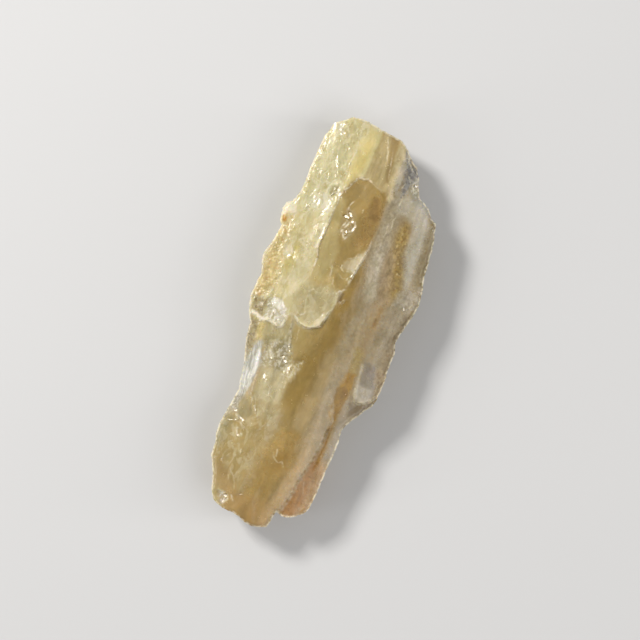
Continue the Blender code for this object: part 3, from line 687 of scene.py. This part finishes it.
def band_place(points, stray):
    """How far a point is through the stone's layers: 0 at the left edge, 1 at the right."""
    y = points[:, 1]
    x = points[:, 0] + 0.5 * stray
    brown, grey, ochre = (line_at(y, line) for line in (BROWN_LINE, GREY_LINE, OCHRE_LINE))
    marks = [LEFT_SIDE, brown - PALE_WIDTH, brown, grey, ochre, OUTER_LAYER, RIGHT_SIDE]
    place = np.zeros(len(points))
    for left, right, low, high in zip(marks, marks[1:], LINE_PLACES, LINE_PLACES[1:]):
        place += (high - low) * np.clip((x - left) / (right - left), 0, 1)
    return place


def zone(points, ring, soft, stray):
    """1 inside a closed ring of points, fading to 0 over the soft width around its edge."""
    mask = np.zeros(len(points))
    near = box_near(points, np.array(ring), 2 * soft + 0.6)
    if not near.any():
        return mask
    ring = list(ring) + [ring[0]]
    area = sum(a[0] * b[1] - a[1] * b[0] for a, b in zip(ring, ring[1:]))
    distance, right, _ = measure(points[near, :2], ring)
    depth = np.where(right == (area < 0), distance, -distance)
    mask[near] = smooth(-soft, soft, depth + min(0.5, soft) * stray[near])
    return mask


def paint(points, skin):
    """The colour and the finishes at every point. Skin is 1 on the broken face and 0 deep in the stone."""
    stray = 0.8 * waves(points, 1.3, 2.2, 33.0) + 0.6 * waves(points, 0.45, 0.7, 35.0)
    place = band_place(points, stray)
    stops = [stop for stop, _ in LAYER_COLOURS]
    layers = np.array([tone(*colour) for _, colour in LAYER_COLOURS])
    colour = np.column_stack([np.interp(place, stops, channel) for channel in layers.T])
    finish = {name: np.zeros(len(points)) for name in FINISHES}
    areas = [(area, np.ones(len(points))) for area in LAYER_AREAS] + [(area, skin) for area in FACE_AREAS]
    for (over, amount, soft, extras, ring), reach in areas:
        mask = zone(points, ring, soft, stray) * reach
        colour += (amount * mask)[:, None] * (np.array(tone(*over)) - colour)
        for name in FINISHES:
            finish[name] += mask * (extras.get(name, 0.0) - finish[name])
    return colour, finish


def edge_glow_lines(points, rim_gap):
    """Pale lines of painted glow and highlight along the steps' edges and the face's rim, from 0 to 1."""
    # the face's rim all round: a painted glow for light through its thin edge
    lines = smooth(0.45, 0.1, rim_gap)
    for step in ALL_STEPS:
        near = box_near(points, step["path"], 1.0)
        if near.any():
            distance, right, drop = measure(points[near, :2], step["path"])
            share = np.clip(2 * drop / step["path"][:, 2].max(), 0, 1)
            width = (0.5 + 0.5 * share) * np.where(right, step["foot"], step["lip"])
            line = step["shine"] * share * smooth(width, 0.4 * width, distance)
            lines[near] = np.maximum(lines[near], line)
    return lines


# ---- The relief of the broken face ----
def steps_relief(points):
    """How far the steps lower the face at each point."""
    depth = np.zeros(len(points))
    for step in ALL_STEPS:
        near = box_near(points, step["path"], 3.2 * step["reach"])
        distance, right, drop = measure(points[near], step["path"])
        fall = 1 - (1 - np.clip(distance / step["foot"], 0, 1)) ** 1.5
        bend = EDGE_BEND * (1 - np.clip(distance / EDGE_WIDTH, 0, 1)) ** 2
        share = np.where(right, EDGE_BEND + (1 - EDGE_BEND) * fall, bend)
        depth[near] += drop * share * np.exp(-distance / step["reach"])
    return depth


def box_near(points, path, margin):
    """Which points lie in the box around a path, widened by the margin."""
    low, high = path[:, :2].min(0) - margin, path[:, :2].max(0) + margin
    return ((points[:, :2] > low) & (points[:, :2] < high)).all(1)


def scars(points, seed, count, box, size, depth, stretch):
    """Crisp shallow bowls broken out of the face at random: the deepest one at each point."""
    rng = np.random.default_rng(seed)
    deepest = np.zeros(len(points))
    for _ in range(count):
        centre = rng.uniform(box[0], box[1])
        a = size * rng.lognormal(0, 0.45)
        b = a * stretch * rng.uniform(0.7, 1.4)
        turn = rng.normal(0, 0.35)
        lean = rng.normal(0, 0.5, 2)
        deep = depth * rng.uniform(0.4, 1.3)
        near = (np.abs(points[:, :2] - centre) < 1.6 * max(a, b)).all(1)
        u, v = (points[near, :2] - centre).T
        u, v = (u * math.cos(turn) + v * math.sin(turn)) / a, (v * math.cos(turn) - u * math.sin(turn)) / b
        cut = deep * (1 - u * u - v * v + lean[0] * u + lean[1] * v)
        cut *= smooth(2.4, 1.6, u * u + v * v)
        deepest[near] = np.maximum(deepest[near], cut)
    return deepest


def facets(points, seed, spacing, tilt, stretch=1.6):
    """How deep small hollow breaks cut a surface: each as wide as the spacing and longer by the stretch."""
    rng = np.random.default_rng(seed)
    places = points[:, :2] / (1, stretch)
    centres = even_grid(places.min(0) - 2 * spacing, places.max(0) + 2 * spacing, spacing)
    centres += rng.normal(0, 0.28 * spacing, centres.shape)
    tilts = np.clip(rng.normal(0, tilt, centres.shape), -1.5 * tilt, 1.5 * tilt)
    levels = rng.uniform(0, 0.6 * spacing * tilt, len(centres))
    tree = tree_of(centres)
    near = np.array([[found[1] for found in tree.find_n((x, y, 0), 12)] for x, y in places])
    away = places[:, None, :] - centres[near]
    cuts = levels[near] + (tilts[near] * away).sum(2) - 1.2 * tilt / spacing * (away**2).sum(2)
    return cuts.max(1)


def glints(points, height):
    """The face with its small smooth breaks, each one flat and turned halfway to the key light."""
    light = Matrix.Rotation(math.radians(PHOTO_TILT), 3, "Z") @ Vector(KEY_PLACE)
    half = light.normalized() + Vector((0, 0, 1))
    slope = -np.array(half[:2]) / half[2]
    ragged = 1 + 0.5 * waves(points, 0.5, 0.7, 21.0)
    rng = np.random.default_rng(22)
    for x, y, radius in GLINTS:
        away = points[:, :2] - (x, y)
        turn = rng.uniform(0, math.pi)
        stretch = rng.uniform(1.0, 1.6)
        u, v = away @ (math.cos(turn), math.sin(turn)), away @ (-math.sin(turn), math.cos(turn))
        distance = ragged * np.hypot(u / stretch, v * stretch)
        centre = height[np.argmin(distance)]
        share = smooth(1.3 * radius, radius, distance)
        height = height + share * (centre + away @ slope - height)
    return height


def crown(points):
    """The broken face without its steps: a dome with long waves, and the steep facet on its left edge."""
    x, y = points.T
    height = THICKNESS - CROWN_SINK - (x - CROWN_X) ** 2 / (2 * RADIUS_ACROSS) - y**2 / (2 * RADIUS_ALONG)
    height += 0.45 * waves(points, 6.0, 22.0, 0.4) + 0.12 * waves(points, 2.2, 6.0, 1.7)
    distance, right, share = measure(points, STEEP_RIDGE)
    return height - np.where(right, 0, STEEP_SLOPE * distance * share)


def face_height(points, rim_gap, rim_z, finish):
    """The broken face: it rises from the rim in a narrow shoulder, and small breaks roughen it."""
    face = crown(points) - steps_relief(points)
    shoulder = 0.9 + 0.4 * waves(points, 1.6, 1.6, 6.0)
    inside = 1 - (1 - np.clip(rim_gap / shoulder, 0, 1)) ** 2
    face = rim_z + (np.maximum(face, rim_z) - rim_z) * inside

    left = np.array([[-16.0, -41.0], [0.0, 42.0]])
    glassy = 1 - 0.7 * smooth(2.0, 5.0, points[:, 0])
    rough = 0.15 + 0.85 * finish["facets"]
    breaks = glassy * scars(points, seed=10, count=40, box=left, size=3.6, depth=0.13, stretch=1.8)
    breaks += (0.3 + 0.7 * rough) * facets(points, seed=11, spacing=2.6, tilt=0.06)
    breaks += rough * facets(points, seed=12, spacing=1.2, tilt=0.16)
    finest = 0.2 * rough + 0.1 * finish["grain"] + 0.5 * finish["frost"]
    breaks += finest * facets(points, seed=13, spacing=0.6, tilt=0.25)
    breaks += 0.16 * finish["crust"] * np.abs(waves(points, 0.55, 0.55, 3.0))
    return glints(points, face - breaks * smooth(0.0, 0.7, rim_gap))


# ---- The mesh ----
def to_spine(points):
    """The direction in plan from each point to the nearest place on the spine."""
    start, end = np.array(SPINE)
    run = end - start
    share = np.clip((points - start) @ run / (run @ run), 0, 1)
    step = start + share[:, None] * run - points
    return step / np.linalg.norm(step, axis=1)[:, None]


def even_grid(low, high, spacing):
    """Points of an even grid of triangles that fills a box in plan."""
    columns = np.arange(low[0], high[0], spacing)
    rows = np.arange(low[1], high[1], spacing * math.sqrt(3) / 2)
    x, y = np.meshgrid(columns, rows)
    x[1::2] += spacing / 2
    return np.column_stack([x.ravel(), y.ravel()])


def filled(rim, others):
    """The points and triangles that fill a rim, with the rim's points first and others inside it."""
    points = [Vector(p) for p in np.vstack([rim, others])]
    flat, _, triangles, *_ = delaunay_2d_cdt(points, [], [list(range(len(rim)))], 1, 1e-6)
    used, triangles = np.unique(triangles, return_inverse=True)
    return np.array(flat)[used], triangles.reshape(-1, 3)


def thinned(points, gap):
    """Points with none closer to an earlier one than the gap."""
    tree, kept, dropped = tree_of(points), [], set()
    for i, (x, y) in enumerate(points):
        if i not in dropped:
            kept.append(i)
            dropped.update(j for _, j, _ in tree.find_range((x, y, 0), gap))
    return points[kept]


def face_points(rim):
    """Points inside the rim: both edges of each step, and an even grid between them."""
    rails = []
    for step in ALL_STEPS:
        rails.append(step["path"][:, :2])
        rails.append(shifted_right(step["path"], step["foot"]))
    rails = thinned(np.vstack(rails), 0.45 * FINE)
    grid = even_grid(rim[:, :2].min(0), rim[:, :2].max(0), FINE)
    grid = grid[gap_to(tree_of(rails), grid) > 0.55 * FINE]
    points = np.vstack([rails, grid])
    return points[gap_to(tree_of(rim), points) > 0.6 * FINE]


def build_face(rim):
    """The broken face: its points in millimetres, its triangles, and each point's colour and finishes."""
    plan, triangles = filled(rim[:, :2], face_points(rim))
    rim_tree = tree_of(rim)
    found = [rim_tree.find((x, y, 0)) for x, y in plan]
    rim_gap = np.array([f[2] for f in found])
    rim_z = rim[[f[1] for f in found], 2]
    colour, finish = paint(plan, np.ones(len(plan)))
    height = face_height(plan, rim_gap, rim_z, finish)
    # pale lines of painted glow and highlight along the step edges and the rim
    finish["edge"] = edge_glow_lines(plan, rim_gap)
    finish["sawn"] = np.zeros(len(plan))
    return np.column_stack([plan, height]), triangles, colour, finish


def wall_rings(rim):
    """Rings of the side wall, from under the rim down to the back, as points in millimetres.

    The relief is worked out on places of three values: how far round the rim, how high, and how far
    down, as a share from 0 at the rim to 1 at the back.
    """
    inward = to_spine(rim[:, :2])
    around = np.cumsum(np.linalg.norm(np.diff(rim[:, :2], axis=0, append=rim[:1, :2]), axis=1))
    rings = []
    for j in range(1, WALL_RINGS + 1):
        down = j / WALL_RINGS
        rings.append(np.column_stack([around, rim[:, 2] * (1 - down), np.full(len(rim), down)]))
    places = np.vstack(rings)
    share = places[:, 2]
    large = facets(places, seed=15, spacing=5.0, tilt=0.3, stretch=0.7)
    small = facets(places, seed=16, spacing=1.8, tilt=0.24, stretch=0.9)
    finest = facets(places, seed=17, spacing=0.8, tilt=0.3, stretch=0.9)
    relief = 0.5 * waves(places, 6.0, 5.0, 7.0) + large
    relief += small + 0.3 * finest - 0.5
    relief *= smooth(0.0, 0.25, share) * (1 - 0.75 * smooth(0.55, 1.0, share))
    inset = np.maximum(0.3 * share, BACK_INSET * share**1.3 + relief).reshape(WALL_RINGS, -1)
    return [
        np.column_stack([rim[:, :2] + inward * depth[:, None], ring[:, 1]])
        for depth, ring in zip(inset, rings)
    ]


def build_back(back_rim):
    """The flat sawn back: the points inside its rim, and triangles that count the rim's points first."""
    inner = even_grid(back_rim[:, :2].min(0), back_rim[:, :2].max(0), BACK_SPACING)
    inner = inner[gap_to(tree_of(back_rim), inner) > 0.5 * BACK_SPACING]
    plan, triangles = filled(back_rim[:, :2], inner)
    inner = plan[len(back_rim):]
    return np.column_stack([inner, np.zeros(len(inner))]), triangles


def wall_faces(count, face_count):
    """The side wall's faces, each of four corners, from the rim down, and its lowest ring's corners."""
    ring = np.arange(count)
    rings = [ring] + [face_count + i * count + ring for i in range(WALL_RINGS)]
    faces = []
    for above, below in zip(rings, rings[1:]):
        faces += np.column_stack([above, np.roll(above, -1), np.roll(below, -1), below]).tolist()
    return faces, rings[-1]


def wall_looks(places, skin):
    """The colour and the finishes of the side wall and the back."""
    colour, finish = paint(places, skin)
    for name, amount in WALL_FINISH.items():
        finish[name] = np.maximum(finish[name], amount * (1 - skin))
    finish["edge"] = np.zeros(len(places))
    finish["sawn"] = smooth(0.3, 0.0, places[:, 2])
    return colour, finish


def keep_looks(mesh, colour, finish):
    """Paints the colour and the finishes on the mesh's points, for the material to read."""
    rows = np.column_stack([colour, np.ones(len(colour))])
    layers = mesh.color_attributes.new("layers", "FLOAT_COLOR", "POINT")
    layers.data.foreach_set("color", rows.astype(np.float32).ravel())
    for name, values in finish.items():
        attribute = mesh.attributes.new(name, "FLOAT", "POINT")
        attribute.data.foreach_set("value", values.astype(np.float32))


def in_triangles(mesh):
    """Turns every face outward and splits the four-sided ones."""
    shape = bmesh.new()
    shape.from_mesh(mesh)
    bmesh.ops.recalc_face_normals(shape, faces=shape.faces)
    bmesh.ops.triangulate(shape, faces=[f for f in shape.faces if len(f.verts) > 3])
    shape.to_mesh(mesh)
    shape.free()


def make_piece():
    """The whole stone as one closed mesh: the broken face, the side wall and the sawn back."""
    rim = rough_rim(widest_line(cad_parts[NODE]))
    face, triangles, colour, finish = build_face(rim)
    rings = wall_rings(rim)
    back, back_triangles = build_back(rings[-1])
    rest = np.vstack(rings + [back])
    walls, back_rim = wall_faces(len(rim), len(face))
    back_map = np.concatenate([back_rim, len(face) + len(rest) - len(back) + np.arange(len(back))])
    faces = triangles.tolist() + walls + back_map[back_triangles[:, ::-1]].tolist()

    mesh = bpy.data.meshes.new("stone")
    mesh.from_pydata((np.vstack([face, rest]) * MM).tolist(), [], faces)
    below = np.concatenate([np.tile(rim[:, 2], WALL_RINGS), np.full(len(back), THICKNESS)]) - rest[:, 2]
    skin = smooth(1.6, 0.4, below + 0.6 * waves(rest, 1.0, 1.0, 4.0))
    rest_colour, rest_finish = wall_looks(rest, skin)
    finish = {name: np.concatenate([values, rest_finish[name]]) for name, values in finish.items()}
    keep_looks(mesh, np.vstack([colour, rest_colour]), finish)
    in_triangles(mesh)
    mesh.shade_smooth()
    mesh.set_sharp_from_angle(angle=math.radians(SHARP_ANGLE))
    piece = bpy.data.objects.new("opal_slab", mesh)
    bpy.context.scene.collection.objects.link(piece)
    return piece


# ---- The material ----
class Shading:
    """A material's nodes, added one call at a time. Sockets and plain values can both be passed in."""

    def __init__(self, name):
        self.material = bpy.data.materials.new(name)
        self.material.use_nodes = True
        self.nodes = self.material.node_tree.nodes
        self.links = self.material.node_tree.links
        self.shader = self.nodes["Principled BSDF"]
        self.place = self.nodes.new("ShaderNodeTexCoord").outputs["Object"]

    def put(self, socket, value):
        """Links a socket to another one, or gives it a plain value."""
        if isinstance(value, bpy.types.NodeSocket):
            self.links.new(value, socket)
        elif isinstance(value, tuple) and socket.type == "RGBA":
            socket.default_value = (*value, 1.0)
        else:
            socket.default_value = value

    def add(self, kind, inputs, **settings):
        """A new node, with its settings and with what goes into its inputs."""
        node = self.nodes.new("ShaderNode" + kind)
        for name, value in settings.items():
            setattr(node, name, value)
        for name, value in inputs.items():
            self.put(node.inputs[name], value)
        return node

    def mark(self, name, output="Fac"):
        """A value painted on the mesh."""
        return self.add("Attribute", {}, attribute_name=name).outputs[output]

    def calc(self, operation, a, b):
        """One step of arithmetic."""
        return self.add("Math", {0: a, 1: b}, operation=operation).outputs[0]

    def product(self, *values):
        """All the values multiplied."""
        result = values[0]
        for value in values[1:]:
            result = self.calc("MULTIPLY", result, value)
        return result

    def plus(self, base, *values):
        """The base plus the product of the other values."""
        return self.calc("ADD", base, self.product(*values))

    def between(self, value, low, high):
        """0 at low, 1 at high, with an even curve between them."""
        inputs = {"Value": value, "From Min": low, "From Max": high}
        return self.add("MapRange", inputs, interpolation_type="SMOOTHSTEP").outputs["Result"]

    def mixed(self, under, over, share, mode="MIX"):
        """One colour over another, as far as its share."""
        inputs = {"Factor": share, 6: under, 7: over}
        return self.add("Mix", inputs, data_type="RGBA", blend_type=mode).outputs[2]

    def grain(self, size, detail=3.0, along=1.0, bend=0.0):
        """Noise from 0 to 1 with waves of a size in millimetres, longer along the slab by a factor."""
        place = self.add("Mapping", {"Vector": self.place, "Scale": (1.0, 1.0 / along, 1.0)}).outputs[0]
        inputs = {"Vector": place, "Scale": 1 / MM / size, "Detail": detail, "Distortion": bend}
        return self.add("TexNoise", inputs).outputs["Fac"]

    def cells(self, size):
        """The distance from the middles of small round cells of a size in millimetres, from 0 up."""
        inputs = {"Vector": self.place, "Scale": 1 / MM / size}
        return self.add("TexVoronoi", inputs).outputs["Distance"]

    def threads(self, size, width, along, bend):
        """Thin, bent lines, broken here and there: 1 on the line."""
        off = self.calc("ABSOLUTE", self.calc("SUBTRACT", self.grain(size, 2.0, along, bend), 0.5), 0.0)
        line = self.between(off, width, 0.3 * width)
        return self.product(line, self.between(self.grain(1.3 * size, 2.0), 0.48, 0.66))

    def textured(self, colour, pattern, low, high, dark, light, share):
        """A colour multiplied by a tint: the dark one where its pattern is low, the light one where high."""
        tint = self.mixed(dark, light, self.between(self.grain(*pattern), low, high))
        return self.mixed(colour, tint, share, "MULTIPLY")

    def spotted(self, colour, over, finish, strength, pattern, low, high):
        """A colour with spots of another one in a finish, where their pattern is high."""
        spots = self.between(self.grain(*pattern), low, high)
        return self.mixed(colour, tone(*over), self.product(spots, finish, strength))


def banded(on):
    """The layers' colours, with clouds, stripes and granular spots."""
    granular = on.mark("grain")
    striped = on.plus(0.12, on.mark("streaks"), 0.88)
    mottled = on.plus(0.2, granular, 0.65)
    sugary = on.plus(0.12, granular, 0.6)
    textures = [  # the pattern, its low and its high value, the dark and the light tint, and the share
        ((2.8, 4.0, 2.2, 0.8), 0.34, 0.66, (0.87, 0.87, 0.83), (1.10, 1.10, 1.13), 1.0),
        ((0.6, 3.0, 12.0), 0.36, 0.64, (0.90, 0.90, 0.88), (1.09, 1.09, 1.10), striped),
        ((1.1, 5.0, 1.4), 0.36, 0.64, (0.84, 0.82, 0.77), (1.13, 1.14, 1.18), mottled),
        ((0.45, 3.0, 1.3), 0.40, 0.60, (0.84, 0.83, 0.80), (1.15, 1.16, 1.18), sugary),
    ]
    colour = on.mark("layers", "Color")
    for texture in textures:
        colour = on.textured(colour, *texture)
    return colour


def veiled(on, colour, threads):
    """Milky veils over a colour: deep places, then pale folds, then threads."""
    veils = on.mark("veils")
    colour = on.spotted(colour, (172, 158, 102), veils, 0.5, (1.5, 4.0, 1.5, 1.0), 0.46, 0.34)
    colour = on.spotted(colour, (230, 223, 192), veils, 0.5, (1.9, 5.0, 1.7, 1.4), 0.48, 0.60)
    return on.mixed(colour, tone(242, 235, 208), threads)


def worn(on, colour):
    """The skin's marks on a colour: rust and granules, frost, streaks with a painted sheen, and brown
    specks.
    """
    crust, frost = on.mark("crust"), on.mark("frost")
    colour = on.spotted(colour, (184, 146, 86), crust, 0.45, (0.9, 4.0), 0.50, 0.66)
    granules = on.between(on.cells(0.75), 0.40, 0.2)
    granules = on.product(granules, on.between(on.grain(1.6, 2.0), 0.42, 0.58))
    colour = on.mixed(colour, tone(238, 226, 182), on.product(granules, crust, 0.6))
    colour = on.spotted(colour, (244, 242, 234), frost, 0.9, (0.5, 4.0, 1.2), 0.48, 0.58)
    colour = on.spotted(colour, (150, 146, 128), frost, 0.5, (0.8, 4.0, 1.5), 0.5, 0.36)
    # streaky white on the steep facet: its frosted streaks, with a painted reflection of the light on them
    streaks_and_sheen = on.between(on.grain(0.5, 5.0, 5.0, 0.3), 0.44, 0.58)
    streaks_and_sheen = on.mixed(tone(166, 165, 154), tone(240, 240, 232), streaks_and_sheen)
    colour = on.mixed(colour, streaks_and_sheen, on.product(on.mark("silver_sheen"), 0.85))
    return on.spotted(colour, (108, 82, 40), on.mark("specks"), 0.55, (0.6, 3.0, 1.2), 0.49, 0.60)


def set_surface(on, white):
    """How matt and how see-through the stone is. It glows from inside, and less where it is white."""
    granular = on.mark("grain")
    matt = on.plus(on.product(granular, 0.14), on.mark("sawn"), 0.2)
    on.put(on.shader.inputs["Roughness"], on.calc("ADD", matt, on.plus(0.1, on.grain(1.2, 4.0), 0.26)))
    see_through = on.plus(SEE_THROUGH, on.mark("clear"), 0.25)
    cloudy = on.calc("MAXIMUM", on.product(on.mark("frost"), 0.2), on.product(granular, 0.1))
    on.put(on.shader.inputs["Transmission Weight"], on.calc("SUBTRACT", see_through, cloudy))
    on.shader.inputs["IOR"].default_value = IOR
    on.put(on.shader.inputs["Subsurface Weight"], on.calc("SUBTRACT", GLOW, on.product(white, 0.45)))
    on.shader.inputs["Subsurface Radius"].default_value = GLOW_RADIUS
    on.shader.inputs["Subsurface Scale"].default_value = GLOW_DEPTH * MM


def set_bumps(on, sawing):
    """Fine bumps: grain everywhere, threads in the veils, and the saw's marks on the back."""
    fine = on.plus(on.grain(0.6, 5.0, 1.4), sawing, on.mark("sawn"), 0.6)
    fine = on.plus(fine, on.threads(1.6, 0.10, 1.8, 1.0), on.mark("veils"), 0.8)
    bump = on.add("Bump", {"Height": fine, "Strength": BUMP_STRENGTH, "Distance": BUMP_DEPTH * MM})
    on.put(on.shader.inputs["Normal"], bump.outputs["Normal"])


def set_absorption(on):
    """Light turns honey-coloured on its way through the stone."""
    volume = on.add("VolumeAbsorption", {"Color": ABSORB_COLOUR, "Density": ABSORB_DENSITY})
    on.put(on.nodes["Material Output"].inputs["Volume"], volume.outputs["Volume"])


def opal():
    """See-through banded opal: milky veils, granular layers, frosted breaks, painted glow on thin edges."""
    on = Shading("opal")
    threads = on.calc("MAXIMUM", on.threads(3.0, 0.03, 2.4, 0.8), on.threads(1.4, 0.04, 2.0, 0.6))
    threads = on.product(threads, on.mark("veils"), 0.3)
    # painted glow and highlight along the thin edges, broken up by noise
    rim_glow = on.product(on.mark("edge"), on.between(on.grain(0.8, 3.0), 0.34, 0.58))
    sawing = on.grain(0.35, 3.0, 60.0)
    colour = worn(on, veiled(on, banded(on), threads))
    # pale cream over the colour where the edges' glow and highlight are painted
    colour = on.mixed(colour, tone(244, 236, 210), on.product(rim_glow, 0.9))
    colour = on.mixed(colour, (0.92, 0.92, 0.92), on.product(on.mark("sawn"), sawing, 0.5), "MULTIPLY")
    on.put(on.shader.inputs["Base Color"], colour)
    set_surface(on, white=on.calc("MAXIMUM", on.calc("MAXIMUM", rim_glow, threads), on.mark("frost")))
    set_bumps(on, sawing)
    set_absorption(on)
    return on.material


# ---- The stage ----
def stage():
    """A plain pale floor just under the stone."""
    bpy.ops.mesh.primitive_plane_add(size=FLOOR_SIZE, location=(0, 0, -FLOOR_GAP * MM))
    floor = bpy.context.object
    floor.name = "floor"
    material = bpy.data.materials.new("pale_floor")
    material.use_nodes = True
    shader = material.node_tree.nodes["Principled BSDF"]
    shader.inputs["Base Color"].default_value = FLOOR_COLOUR
    shader.inputs["Roughness"].default_value = FLOOR_ROUGHNESS
    floor.data.materials.append(material)


def area_light(name, place, size, power):
    """A soft lamp at a place in the view's own axes, turned to the stone."""
    light = bpy.data.lights.new(name, "AREA")
    light.color = LAMP_COLOUR
    light.shape = "RECTANGLE"
    light.size, light.size_y = size
    light.energy = power
    lamp = bpy.data.objects.new(name, light)
    bpy.context.scene.collection.objects.link(lamp)
    lamp.location = Matrix.Rotation(math.radians(PHOTO_TILT), 3, "Z") @ Vector(place)
    lamp.rotation_euler = (-lamp.location).to_track_quat("-Z", "Y").to_euler()


def lights():
    """The lamps, and an even pale room around them."""
    for lamp in LAMPS:
        area_light(*lamp)
    world = bpy.data.worlds.new("studio")
    world.use_nodes = True
    room = world.node_tree.nodes["Background"]
    room.inputs["Color"].default_value = ROOM_COLOUR
    room.inputs["Strength"].default_value = ROOM_STRENGTH
    bpy.context.scene.world = world
    bpy.context.scene.view_settings.view_transform = "Standard"


def camera():
    """The camera looks straight down, turned so that the slab leans as in the photo."""
    data = bpy.data.cameras.new("camera")
    data.sensor_width = SENSOR
    data.lens = SENSOR * CAMERA_DISTANCE / VIEW_WIDTH
    data.clip_start = NEAR_CLIP * MM
    view = bpy.data.objects.new("camera", data)
    bpy.context.scene.collection.objects.link(view)
    view.location = (VIEW_AIM[0] * MM, VIEW_AIM[1] * MM, (VIEW_HEIGHT + CAMERA_DISTANCE) * MM)
    view.rotation_euler = (0, 0, math.radians(PHOTO_TILT))
    bpy.context.scene.camera = view


stone = make_piece()
stone.data.materials.append(opal())
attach(stone, "root")
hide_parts(NODE)
stage()
lights()
camera()
